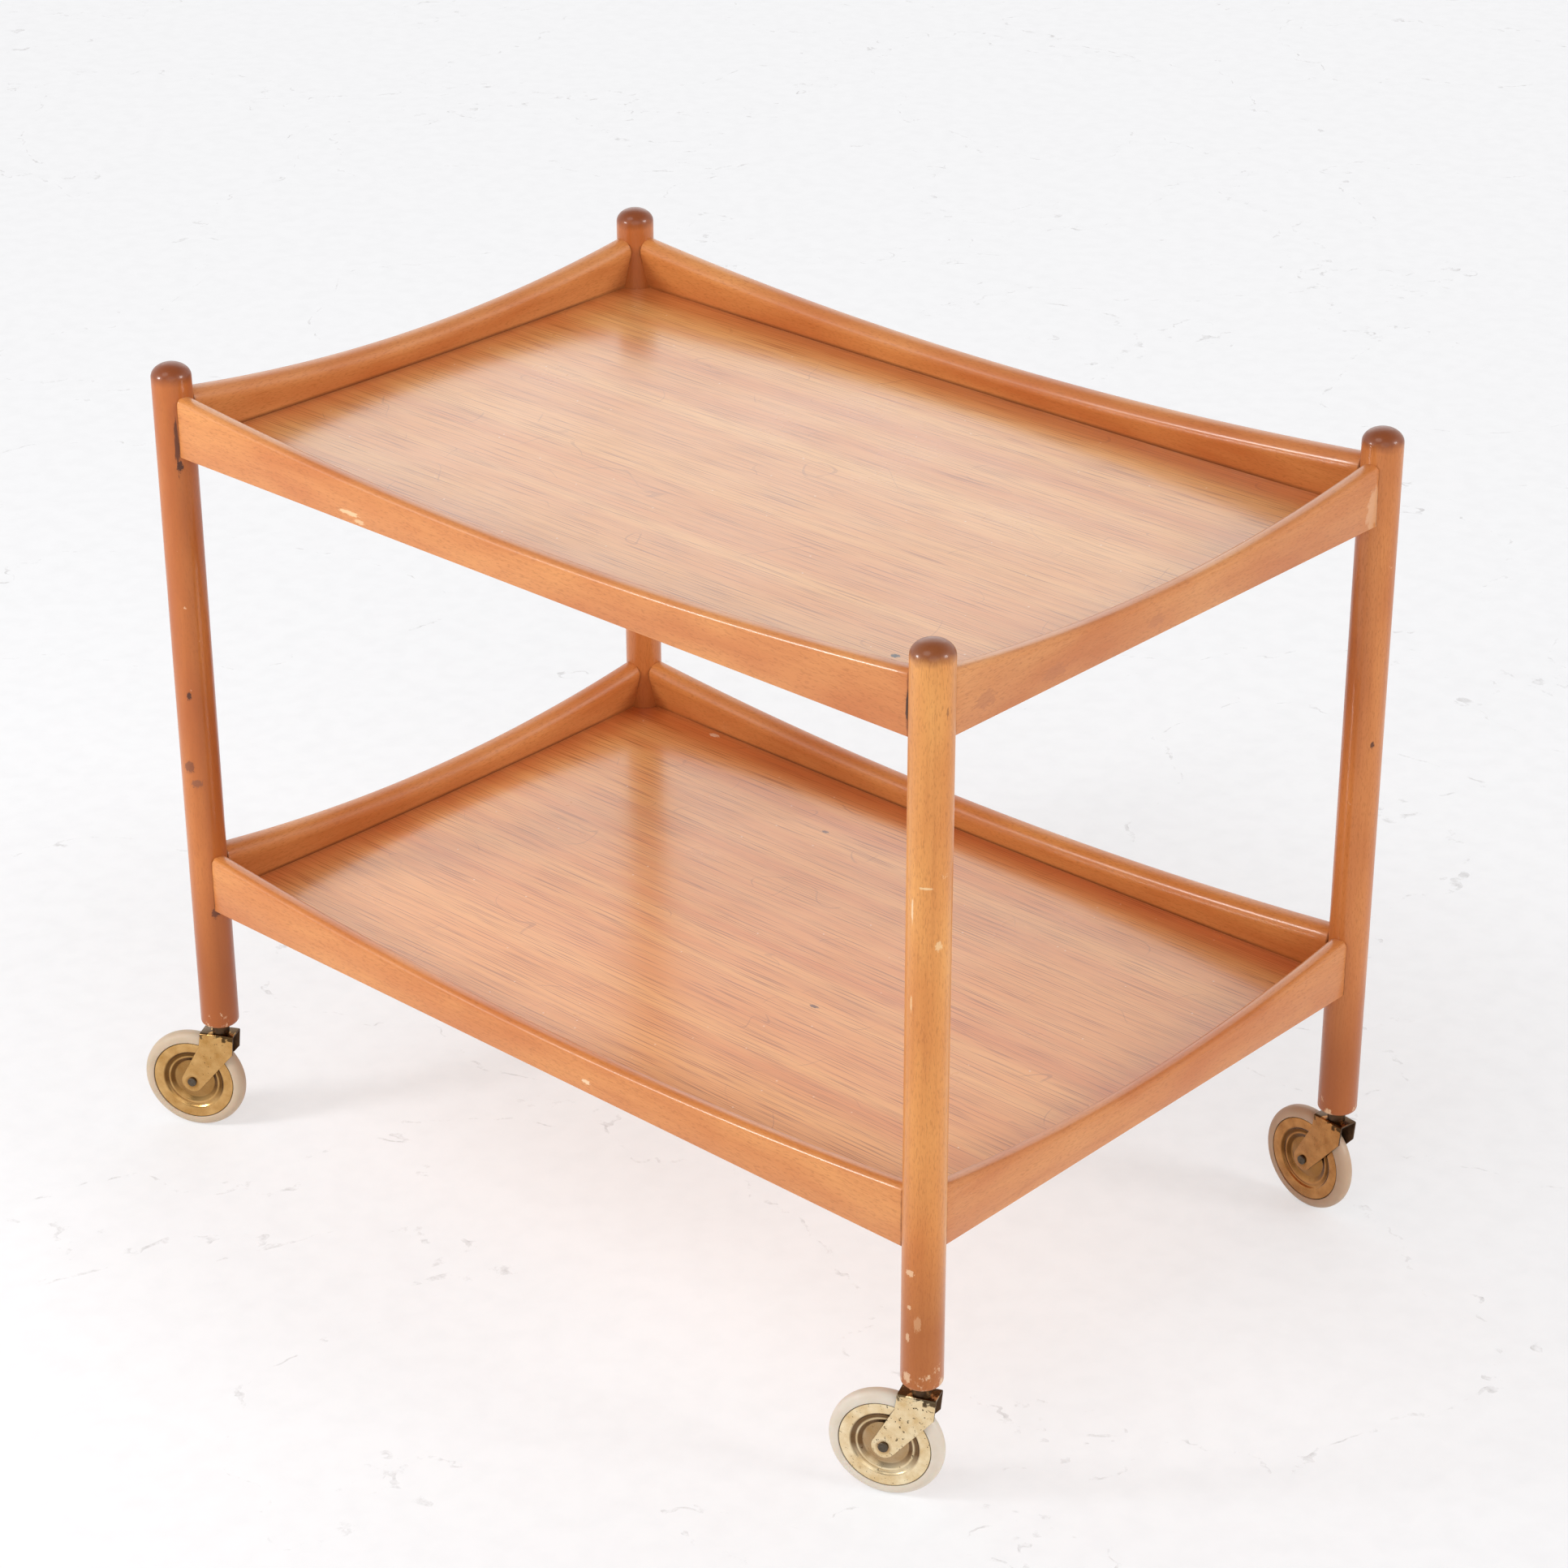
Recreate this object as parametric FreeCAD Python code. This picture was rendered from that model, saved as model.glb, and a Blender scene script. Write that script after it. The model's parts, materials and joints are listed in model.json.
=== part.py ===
import FreeCAD
import Part
import math
import os

from FreeCAD import Vector

# Two-tier serving trolley: four turned legs, eight rails tenoned into them, two veneered tray
# panels set into rebates, and a swivelling disc-wheel caster under each leg.
# Millimetres. +Z up, +X along the long side, origin on the floor midway between the four legs.

# Legs: turned round, with a domed top that rises above the rails and a softened foot
LEG_SPACING_X = 700.0
LEG_SPACING_Y = 463.0
LEG_RADIUS = 14.3
LEG_RISE = 22.0
DOME_CROWN_RADIUS = 20.0
DOME_SHOULDER_RADIUS = 8.5
FOOT_CHAMFER = 2.5

# Rails: straight underneath, hollowed along the top, rounded over and undercut on the inside
LOWER_RAIL_HEIGHT = 101.0
TRAY_SPACING = 361.0
RAIL_END_DEPTH = 44.0
RAIL_MID_DEPTH = 27.4
RAIL_FACE_OFFSET = 7.4
RAIL_THICKNESS = 15.6
RAIL_OUTER_ROUND = 4.5
RAIL_INNER_ROUND = 9.5
RAIL_UNDERCUT_DEGREES = 14.4

# Stub tenons on the rail ends
TENON_THICKNESS = 6.5
TENON_HEIGHT = 26.0
TENON_RISE = 10.0
TENON_FACE_INSET = 2.4
TENON_LENGTH = 9.9
GLUE_GAP = 0.1

# Tray panels, set flush into a rebate along the underside of the rails
PANEL_THICKNESS = 5.0
REBATE_WALL = 5.0
PANEL_EDGE_GAP = 0.3

# Casters: heights are drops below the foot of the leg
CASTER_TRAIL = 23.3
PLATE_DROP = 8.9
SWIVEL_GAP = 0.25
RUNNING_GAP = 0.05

# Resting swivel angle of each caster, from +X towards +Y
CASTER_DEGREES = {
    "front_left": 208.5,
    "front_right": 203.0,
    "back_right": 171.9,
    "back_left": 195.0,
}

# Stem and the socket that holds it in the leg
SOCKET_RADIUS = 5.5
SOCKET_LENGTH = 32.0
STEM_RADIUS = 4.0
STEM_END_GAP = 2.0
BOSS_RADIUS = 6.5

# Fork: one pressed strip folded into an inverted U
FORK_SHEET = 1.5
FORK_BEND = 2.0
PLATE_LEAD = 12.2
PLATE_TAIL = 14.6
CHEEK_LEAD_DEPTH = 15.9
CHEEK_LEAD_SETBACK = 1.3
CHEEK_TAIL_DEPTH = 12.2
CHEEK_TAIL_FLARE = 1.5
CHEEK_END_RADIUS = 8.5
TYRE_TOP_GAP = 2.1
TYRE_SIDE_GAP = 0.65

# Axle rivet and bush
AXLE_RADIUS = 2.7
HEAD_RADIUS = 3.5
HEAD_HEIGHT = 1.4
BUSH_RADIUS = 4.2
WHEEL_SIDE_GAP = 0.4

# Pressed wheel disc, from the rim inwards: radial runs, and depths below the flat rim
DISC_RADIUS = 32.2
RIM_RUN = 8.0
GROOVE_RUN = 1.8
GROOVE_DEPTH = 1.8
CREST_RUN = 2.8
CREST_DEPTH = 0.7
DISH_RUN = 4.0
DISH_DEPTH = 3.0
HUB_RADIUS = 7.0
HUB_DEPTH = 0.4

# Tyre section, seated on the discs
TYRE_DEPTH = 7.8
TYRE_WIDTH = 12.0
TYRE_SIDEWALL = 4.4
TREAD_WIDTH = 5.2
RIM_INSET = 0.6

# Sizes that follow from those above
TYRE_RADIUS = DISC_RADIUS + TYRE_DEPTH
DISC_HALF_WIDTH = TYRE_WIDTH / 2 - RIM_INSET
FORK_WIDTH = TYRE_WIDTH + 2 * (TYRE_SIDE_GAP + FORK_SHEET)
AXLE_DROP = PLATE_DROP + FORK_SHEET + TYRE_TOP_GAP + TYRE_RADIUS
STEM_LENGTH = SOCKET_LENGTH - STEM_END_GAP

FOOT_Z = TYRE_RADIUS + AXLE_DROP
AXLE_Z = -AXLE_DROP
PLATE_Z = -PLATE_DROP
LOWER_TRAY_Z = FOOT_Z + LOWER_RAIL_HEIGHT
UPPER_TRAY_Z = LOWER_TRAY_Z + TRAY_SPACING
LEG_LENGTH = LOWER_RAIL_HEIGHT + TRAY_SPACING + RAIL_END_DEPTH + LEG_RISE

UP = Vector(0, 0, 1)
CORNERS = list(CASTER_DEGREES)
TRAYS = {"upper": UPPER_TRAY_Z, "lower": LOWER_TRAY_Z}

# Each side's turn about Z from the front one
SIDE_DEGREES = {"front": 0, "right": 90, "back": 180, "left": 270}
LONG_SIDES = ("front", "back")


def corner_point(corner, z):
    """A point on a leg's axis."""
    depth, side = corner.split("_")
    x = LEG_SPACING_X / 2 if side == "right" else -LEG_SPACING_X / 2
    y = LEG_SPACING_Y / 2 if depth == "back" else -LEG_SPACING_Y / 2
    return Vector(x, y, z)


def rounded_face(corners, to_space):
    """A flat face from (p, q, radius) corners, each corner eased by an arc of its radius."""
    rings = []
    for i, (p, q, radius) in enumerate(corners):
        here = Vector(p, q, 0)
        back = Vector(*corners[i - 1][:2], 0) - here
        ahead = Vector(*corners[(i + 1) % len(corners)][:2], 0) - here
        if radius == 0:
            rings.append((here, here, here))
            continue
        back.normalize()
        ahead.normalize()
        half = back.getAngle(ahead) / 2
        centre = here + (back + ahead).normalize() * (radius / math.sin(half))
        middle = centre + (here - centre).normalize() * radius
        reach = radius / math.tan(half)
        rings.append((here + back * reach, middle, here + ahead * reach))
    edges = []
    for i, (start, middle, end) in enumerate(rings):
        if start != end:
            arc = Part.Arc(to_space(start), to_space(middle), to_space(end))
            edges.append(arc.toShape())
        following = rings[(i + 1) % len(rings)][0]
        if end.distanceToPoint(following) > 1e-6:
            edges.append(Part.LineSegment(to_space(end), to_space(following)).toShape())
    return Part.Face(Part.Wire(edges))


def on_xz(point):
    """Section coordinates (p, q) laid on the XZ plane."""
    return Vector(point.x, 0, point.y)


def on_yz(point):
    """Section coordinates (p, q) laid on the YZ plane."""
    return Vector(0, point.x, point.y)


def turned(corners, axis_point=Vector(0, 0, 0)):
    """A solid of revolution about Z from (radius, height, round) corners."""
    solid = rounded_face(corners, on_xz).revolve(Vector(0, 0, 0), UP, 360)
    solid.translate(axis_point)
    return solid


def block(low, high):
    """A box between two opposite corners."""
    size = high - low
    return Part.makeBox(size.x, size.y, size.z, low)


def rail_half_span(side):
    """Half the distance between the axes of the legs that a side's rails join."""
    return (LEG_SPACING_X if side in LONG_SIDES else LEG_SPACING_Y) / 2


def side_distance(side):
    """From the middle of the trolley to the leg axes on a side."""
    return (LEG_SPACING_Y if side in LONG_SIDES else LEG_SPACING_X) / 2


def place_rail(shape, side, base_z):
    """Move a shape from the rail frame (X along, +Y inwards, Z from its underside) to its side."""
    placed = shape.copy()
    placed.translate(Vector(0, -side_distance(side), base_z))
    placed.rotate(Vector(0, 0, 0), UP, SIDE_DEGREES[side])
    return placed


def tenons(half_span, gap):
    """Both end tenons of a rail, or their mortises when grown by a gap."""
    outer = TENON_FACE_INSET - RAIL_FACE_OFFSET
    tip = half_span - LEG_RADIUS + TENON_LENGTH
    root = half_span - LEG_RADIUS - TENON_LENGTH
    low = Vector(root, outer - gap, TENON_RISE - gap)
    high = Vector(tip + gap, outer + TENON_THICKNESS + gap, TENON_RISE + TENON_HEIGHT + gap)
    one = block(low, high)
    return [one, one.mirror(Vector(0, 0, 0), Vector(1, 0, 0))]


def leaning(angle):
    """Unit direction that leans from +Z towards +X."""
    return Vector(math.sin(angle), 0, math.cos(angle))


def leg(corner):
    """Turned leg with its caster hole and the mortises of the four rails that meet it."""
    overhang = LEG_RADIUS - DOME_SHOULDER_RADIUS
    lean = math.asin(overhang / (DOME_CROWN_RADIUS - DOME_SHOULDER_RADIUS))
    crown = Vector(0, 0, LEG_LENGTH - DOME_CROWN_RADIUS)
    shoulder = crown + leaning(lean) * (DOME_CROWN_RADIUS - DOME_SHOULDER_RADIUS)
    top = Vector(0, 0, LEG_LENGTH)
    join = crown + leaning(lean) * DOME_CROWN_RADIUS
    side_top = shoulder + leaning(math.pi / 2) * DOME_SHOULDER_RADIUS
    side_foot = Vector(LEG_RADIUS, 0, FOOT_CHAMFER)
    foot_edge = Vector(LEG_RADIUS - FOOT_CHAMFER, 0, 0)
    foot_middle = Vector(0, 0, 0)
    crown_middle = crown + leaning(lean / 2) * DOME_CROWN_RADIUS
    shoulder_middle = shoulder + leaning(lean / 2 + math.pi / 4) * DOME_SHOULDER_RADIUS
    outline = [
        Part.Arc(top, crown_middle, join),
        Part.Arc(join, shoulder_middle, side_top),
        Part.LineSegment(side_top, side_foot),
        Part.LineSegment(side_foot, foot_edge),
        Part.LineSegment(foot_edge, foot_middle),
        Part.LineSegment(foot_middle, top),
    ]
    face = Part.Face(Part.Wire([edge.toShape() for edge in outline]))
    solid = face.revolve(Vector(0, 0, 0), UP, 360)
    hole = Part.makeCylinder(SOCKET_RADIUS + GLUE_GAP, SOCKET_LENGTH + GLUE_GAP)
    solid = solid.cut(hole)
    solid.translate(corner_point(corner, FOOT_Z))
    mortises = []
    for base_z in TRAYS.values():
        for side in SIDE_DEGREES:
            for mortise in tenons(rail_half_span(side), GLUE_GAP):
                placed = place_rail(mortise, side, base_z)
                if placed.distToShape(solid)[0] == 0:
                    mortises.append(placed)
    return solid.cut(mortises)


def rail(side):
    """Rail in its own frame: a moulded section carried along the hollow top, with coped ends."""
    half_span = rail_half_span(side)
    half_length = half_span - LEG_RADIUS
    sag = RAIL_END_DEPTH - RAIL_MID_DEPTH
    hollow_radius = (half_length**2 + sag**2) / (2 * sag)
    undercut = math.radians(RAIL_UNDERCUT_DEGREES)
    inner = RAIL_THICKNESS - RAIL_FACE_OFFSET
    corner_reach = RAIL_INNER_ROUND / math.tan((math.pi / 2 - undercut) / 2)
    lip = inner - RAIL_INNER_ROUND + corner_reach
    below = RAIL_END_DEPTH + LEG_RADIUS * half_span / hollow_radius
    section = [
        (-RAIL_FACE_OFFSET, RAIL_MID_DEPTH - below, 0),
        (lip - below * math.tan(undercut), RAIL_MID_DEPTH - below, 0),
        (lip, RAIL_MID_DEPTH, RAIL_INNER_ROUND),
        (-RAIL_FACE_OFFSET, RAIL_MID_DEPTH, RAIL_OUTER_ROUND),
    ]
    centre = Vector(0, 0, RAIL_MID_DEPTH + hollow_radius)
    across = Vector(0, 1, 0)
    plain_half = half_length - RAIL_THICKNESS
    stops = [-half_span, -plain_half, plain_half, half_span]
    angles = [math.degrees(math.asin(stop / hollow_radius)) for stop in stops]
    lengths = []
    for start, end in zip(angles, angles[1:]):
        face = rounded_face(section, on_yz)
        face.rotate(centre, across, start)
        lengths.append(face.revolve(centre, across, end - start))
    bar = lengths[0].fuse(lengths[1:])
    room = block(
        Vector(-half_span, -RAIL_THICKNESS, 0),
        Vector(half_span, RAIL_THICKNESS, 2 * RAIL_END_DEPTH),
    )
    bar = bar.common(room)
    cope = Part.makeCylinder(LEG_RADIUS + GLUE_GAP, 2 * RAIL_END_DEPTH)
    for end in (-half_span, half_span):
        bore = cope.copy()
        bore.translate(Vector(end, 0, 0))
        bar = bar.cut(bore)
    rebate = block(
        Vector(-half_span, REBATE_WALL - RAIL_FACE_OFFSET, 0),
        Vector(half_span, RAIL_THICKNESS, PANEL_THICKNESS),
    )
    bar = bar.cut(rebate)
    return bar.fuse(tenons(half_span, 0))


def panel(base_z):
    """Tray panel with its corners cut round the legs."""
    edge = REBATE_WALL - RAIL_FACE_OFFSET + PANEL_EDGE_GAP
    reach = Vector(LEG_SPACING_X / 2 - edge, LEG_SPACING_Y / 2 - edge, 0)
    sheet = block(UP * base_z - reach, UP * (base_z + PANEL_THICKNESS) + reach)
    notch = Part.makeCylinder(LEG_RADIUS + PANEL_EDGE_GAP, PANEL_THICKNESS)
    notches = []
    for corner in CORNERS:
        cut = notch.copy()
        cut.translate(corner_point(corner, base_z))
        notches.append(cut)
    return sheet.cut(notches)


def caster_sockets():
    """Steel socket tubes, one pressed into the foot of each leg."""
    bore = STEM_RADIUS + RUNNING_GAP
    section = [
        (bore, 0, 0),
        (SOCKET_RADIUS, 0, 0),
        (SOCKET_RADIUS, SOCKET_LENGTH, 0),
        (bore, SOCKET_LENGTH, 0),
    ]
    return Part.Compound([turned(section, corner_point(corner, FOOT_Z)) for corner in CORNERS])


def stem():
    """Swivel pin with the boss that carries the leg, riveted into the fork's plate."""
    boss_top = -SWIVEL_GAP
    return turned(
        [
            (0, PLATE_Z - FORK_SHEET, 0),
            (STEM_RADIUS, PLATE_Z - FORK_SHEET, 0),
            (STEM_RADIUS, PLATE_Z, 0),
            (BOSS_RADIUS, PLATE_Z, 0),
            (BOSS_RADIUS, boss_top, 0),
            (STEM_RADIUS, boss_top, 0),
            (STEM_RADIUS, STEM_LENGTH, 0),
            (0, STEM_LENGTH, 0),
        ]
    )


def tangent_point(start, centre, side):
    """Where a line from a point touches the round end of the cheek, on the given side."""
    away = start - centre
    swing = math.acos(CHEEK_END_RADIUS / away.Length)
    angle = math.atan2(away.y, away.x) - side * swing
    return centre + Vector(math.cos(angle), math.sin(angle), 0) * CHEEK_END_RADIUS


def fork():
    """Pressed fork: a folded strip trimmed to the cheek outline and pierced for stem and axle."""
    half = FORK_WIDTH / 2
    inside = half - FORK_SHEET
    low = AXLE_Z - CHEEK_END_RADIUS
    bend_inside = FORK_BEND - FORK_SHEET
    strip = rounded_face(
        [
            (-half, low, 0),
            (-half, PLATE_Z, FORK_BEND),
            (half, PLATE_Z, FORK_BEND),
            (half, low, 0),
            (inside, low, 0),
            (inside, PLATE_Z - FORK_SHEET, bend_inside),
            (-inside, PLATE_Z - FORK_SHEET, bend_inside),
            (-inside, low, 0),
        ],
        on_yz,
    )
    length = PLATE_LEAD + CASTER_TRAIL + CHEEK_END_RADIUS
    strip.translate(Vector(-PLATE_LEAD, 0, 0))
    folded = strip.extrude(Vector(length, 0, 0))
    lead_top = Vector(-PLATE_LEAD, PLATE_Z, 0)
    lead_foot = Vector(CHEEK_LEAD_SETBACK - PLATE_LEAD, PLATE_Z - CHEEK_LEAD_DEPTH, 0)
    tail_top = Vector(PLATE_TAIL, PLATE_Z, 0)
    tail_knee = Vector(PLATE_TAIL + CHEEK_TAIL_FLARE, PLATE_Z - CHEEK_TAIL_DEPTH, 0)
    axle = Vector(CASTER_TRAIL, AXLE_Z, 0)
    tip = Vector(CASTER_TRAIL, low, 0)
    lead_touch = tangent_point(lead_foot, axle, -1)
    tail_touch = tangent_point(tail_knee, axle, 1)
    runs = [
        (tail_top, lead_top),
        (lead_top, lead_foot),
        (lead_foot, lead_touch),
        (tail_touch, tail_knee),
        (tail_knee, tail_top),
    ]
    edges = [Part.LineSegment(on_xz(start), on_xz(end)).toShape() for start, end in runs]
    edges.append(Part.Arc(on_xz(lead_touch), on_xz(tip), on_xz(tail_touch)).toShape())
    outline = Part.Face(Part.Wire(Part.__sortEdges__(edges)))
    outline.translate(Vector(0, -FORK_WIDTH, 0))
    trimmed = folded.common(outline.extrude(Vector(0, 2 * FORK_WIDTH, 0)))
    stem_hole = Part.makeCylinder(STEM_RADIUS, 2 * FORK_SHEET, Vector(0, 0, PLATE_Z - 1.5 * FORK_SHEET))
    across = Vector(0, 1, 0)
    axle_start = Vector(CASTER_TRAIL, -FORK_WIDTH, AXLE_Z)
    axle_hole = Part.makeCylinder(AXLE_RADIUS, 2 * FORK_WIDTH, axle_start, across)
    return trimmed.cut([stem_hole, axle_hole])


def wheel_part(corners):
    """A solid turned about the caster's axle from (radius, offset from the wheel's middle) corners."""
    solid = turned([(radius, offset, 0) for radius, offset in corners])
    solid.rotate(Vector(0, 0, 0), Vector(1, 0, 0), -90)
    solid.translate(Vector(CASTER_TRAIL, 0, AXLE_Z))
    return solid


def axle_rivet():
    """Axle with a head formed against each cheek."""
    cheek = FORK_WIDTH / 2
    end = cheek + HEAD_HEIGHT
    return wheel_part(
        [
            (0, -end),
            (HEAD_RADIUS, -end),
            (HEAD_RADIUS, -cheek),
            (AXLE_RADIUS, -cheek),
            (AXLE_RADIUS, cheek),
            (HEAD_RADIUS, cheek),
            (HEAD_RADIUS, end),
            (0, end),
        ]
    )


def hub_bush():
    """Plain bush that turns on the axle, just short of the cheeks."""
    half = FORK_WIDTH / 2 - FORK_SHEET - WHEEL_SIDE_GAP
    bore = AXLE_RADIUS + RUNNING_GAP
    return wheel_part([(bore, -half), (BUSH_RADIUS, -half), (BUSH_RADIUS, half), (bore, half)])


def wheel_disc(facing):
    """One of the two pressed discs, with its rim, groove, crest, dish and hub."""
    face = DISC_HALF_WIDTH
    rim_inside = DISC_RADIUS - RIM_RUN
    groove = rim_inside - GROOVE_RUN
    crest = groove - CREST_RUN
    dish = crest - DISH_RUN
    profile = [
        (BUSH_RADIUS, 0),
        (DISC_RADIUS, 0),
        (DISC_RADIUS, face),
        (rim_inside, face),
        (groove, face - GROOVE_DEPTH),
        (crest, face - CREST_DEPTH),
        (dish, face - DISH_DEPTH),
        (HUB_RADIUS, face - HUB_DEPTH),
        (BUSH_RADIUS, face - HUB_DEPTH),
    ]
    return wheel_part([(radius, facing * offset) for radius, offset in profile])


def tyre():
    """Rubber tyre seated on the rims of both discs."""
    half = [
        (DISC_RADIUS, TYRE_WIDTH / 2),
        (DISC_RADIUS + TYRE_SIDEWALL, TYRE_WIDTH / 2),
        (TYRE_RADIUS, TREAD_WIDTH / 2),
    ]
    other = [(radius, -offset) for radius, offset in reversed(half)]
    return wheel_part(half + other)


def caster_pieces():
    """The pieces of one caster, in its own frame: origin at the foot of the leg, +X along the trail."""
    return {
        "caster_stem": stem(),
        "caster_fork": fork(),
        "axle_rivet": axle_rivet(),
        "hub_bush": hub_bush(),
        "wheel_disc_left": wheel_disc(-1),
        "wheel_disc_right": wheel_disc(1),
        "tyre": tyre(),
    }


def place_caster(shape, corner):
    """Turn a caster piece to its swivel angle and move it under its leg."""
    placed = shape.copy()
    placed.rotate(Vector(0, 0, 0), UP, CASTER_DEGREES[corner])
    placed.translate(corner_point(corner, FOOT_Z))
    return placed


def trolley():
    """Every piece by its node name."""
    pieces = {"caster_sockets": caster_sockets()}
    for corner in CORNERS:
        pieces[corner + "_leg"] = leg(corner)
    for side in SIDE_DEGREES:
        one_rail = rail(side)
        for tray, base_z in TRAYS.items():
            pieces[f"{tray}_{side}_rail"] = place_rail(one_rail, side, base_z)
    for tray, base_z in TRAYS.items():
        pieces[tray + "_tray_panel"] = panel(base_z)
    for name, shape in caster_pieces().items():
        for corner in CORNERS:
            pieces[f"{corner}_{name}"] = place_caster(shape, corner)
    return pieces


os.makedirs("parts", exist_ok=True)
for node, shape in trolley().items():
    shape.exportStep(f"parts/{node}.step")
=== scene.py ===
import json
import math

import bmesh
import bpy
from mathutils import Matrix, Vector


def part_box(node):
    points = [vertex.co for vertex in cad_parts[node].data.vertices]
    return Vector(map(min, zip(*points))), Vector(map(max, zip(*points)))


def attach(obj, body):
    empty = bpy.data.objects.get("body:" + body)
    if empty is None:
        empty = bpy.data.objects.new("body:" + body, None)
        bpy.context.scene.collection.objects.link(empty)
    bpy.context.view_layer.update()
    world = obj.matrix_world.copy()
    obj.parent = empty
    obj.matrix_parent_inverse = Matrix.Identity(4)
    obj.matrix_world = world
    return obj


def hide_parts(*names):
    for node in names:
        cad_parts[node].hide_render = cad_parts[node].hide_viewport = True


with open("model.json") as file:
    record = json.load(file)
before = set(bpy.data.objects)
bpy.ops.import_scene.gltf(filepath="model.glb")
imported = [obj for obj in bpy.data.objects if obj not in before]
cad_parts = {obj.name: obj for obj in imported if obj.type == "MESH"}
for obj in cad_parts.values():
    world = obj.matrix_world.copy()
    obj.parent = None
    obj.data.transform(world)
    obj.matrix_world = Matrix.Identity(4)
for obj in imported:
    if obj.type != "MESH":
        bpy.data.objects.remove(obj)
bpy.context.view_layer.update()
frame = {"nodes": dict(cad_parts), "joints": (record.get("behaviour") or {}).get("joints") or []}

# Legs
# Four posts of stained beech, turned to a plain round with a domed top and a softened foot.
# Each foot is bored for a caster socket, and the rails are glued into it at two heights.
CORNERS = ("front_left", "front_right", "back_right", "back_left")
LEG_RADIUS = 0.0143
DOME_HEIGHT = 0.0101
FOOT_EASING = 0.0032
SOCKET_BORE = 0.0056
SOCKET_DEPTH = 0.0321
LEG_FACETS = 96
DOME_STEPS = 14
END_GRAIN_BELOW = 0.0040
END_GRAIN_ABOVE = 0.0035
# Heights above the foot where the painted shade on the legs begins and where it is full
FOOT_SHADE_TOP = 0.120
FOOT_SHADE_FULL = 0.045
WORN_TOP = 0.030
SAME_PLACE = 1e-6
MERGE_GAP = 1e-7
CREASE = math.radians(38)
UPRIGHT = 2
LEG_LACQUER_ROUGH = 0.07
LEG_TONES = {
    "front_left": ("#A65420", "#C27436"),
    "front_right": ("#C87836", "#DE9A52"),
    "back_right": ("#B4642E", "#CE8346"),
    "back_left": ("#B0602C", "#C87C42"),
}
# Chips, drips and smears that show: middle, reach, colour and strength
LEG_MARKS = {
    "front_left": (
        ((-0.3385, -0.2400, 0.5640), (0.002, 0.002, 0.024), "#4E2410", 0.85),
        ((-0.3378, -0.2390, 0.5480), (0.003, 0.003, 0.005), "#3E1C0C", 0.9),
        ((-0.3422, -0.2435, 0.3700), (0.002, 0.002, 0.004), "#3A1B0E", 0.9),
        ((-0.3462, -0.2453, 0.3125), (0.005, 0.005, 0.006), "#6E3A22", 0.75),
        ((-0.3414, -0.2429, 0.2993), (0.005, 0.005, 0.004), "#7A4A34", 0.7),
        ((-0.3373, -0.2380, 0.1919), (0.004, 0.004, 0.005), "#5A2A16", 0.85),
    ),
    "front_right": (
        ((0.3573, -0.2438, 0.4610), (0.005, 0.005, 0.001), "#F0D2A2", 0.65),
        ((0.3487, -0.2457, 0.4440), (0.001, 0.001, 0.010), "#F3DCB8", 0.6),
        ((0.3631, -0.2372, 0.4210), (0.003, 0.003, 0.004), "#F0D2A2", 0.5),
        ((0.3487, -0.2457, 0.3790), (0.001, 0.001, 0.007), "#F0D2A2", 0.5),
        ((0.3641, -0.2337, 0.5776), (0.001, 0.001, 0.004), "#7A4420", 0.6),
        ((0.3506, -0.2458, 0.1826), (0.004, 0.004, 0.003), "#E8C49C", 0.65),
        ((0.3504, -0.2458, 0.1565), (0.002, 0.002, 0.002), "#E8C49C", 0.6),
        ((0.3562, -0.2444, 0.1454), (0.003, 0.003, 0.007), "#DDAE80", 0.4),
        ((0.3493, -0.2458, 0.1330), (0.002, 0.002, 0.004), "#E8C49C", 0.55),
        ((0.3491, -0.2458, 0.1021), (0.004, 0.004, 0.005), "#E8C49C", 0.6),
    ),
    "back_right": (
        ((0.3627, 0.2249, 0.3914), (0.002, 0.002, 0.003), "#4A2412", 0.9),
    ),
    "back_left": (),
}


def linear(hex_colour):
    """An sRGB hex colour as linear RGBA."""
    parts = [int(hex_colour[i : i + 2], 16) / 255 for i in (1, 3, 5)]
    curve = [p / 12.92 if p <= 0.04045 else ((p + 0.055) / 1.055) ** 2.4 for p in parts]
    return (*curve, 1)


def per_mm(x, y, z):
    """Texture scale for a pattern of this size in millimetres on metre coordinates."""
    return (1000 / x, 1000 / y, 1000 / z)


def add(tree, kind, inputs, **settings):
    """Adds a shader node: its settings, then a value, a node or an output for each input."""
    made = tree.nodes.new("ShaderNode" + kind)
    for field, value in settings.items():
        setattr(made, field, value)
    for socket, value in inputs.items():
        if isinstance(value, bpy.types.Node):
            tree.links.new(value.outputs[0], made.inputs[socket])
        elif isinstance(value, bpy.types.NodeSocket):
            tree.links.new(value, made.inputs[socket])
        else:
            made.inputs[socket].default_value = value
    return made


def new_material(name):
    """An empty node material, with its tree and its Object coordinates."""
    material = bpy.data.materials.new(name)
    material.use_nodes = True
    tree = material.node_tree
    tree.nodes.clear()
    return material, tree, add(tree, "TexCoord", {}).outputs["Object"]


def along_grain(grain, along, across):
    """Pattern sizes in millimetres, long in the grain's direction."""
    return per_mm(*[along if axis == grain else across for axis in range(3)])


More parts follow.
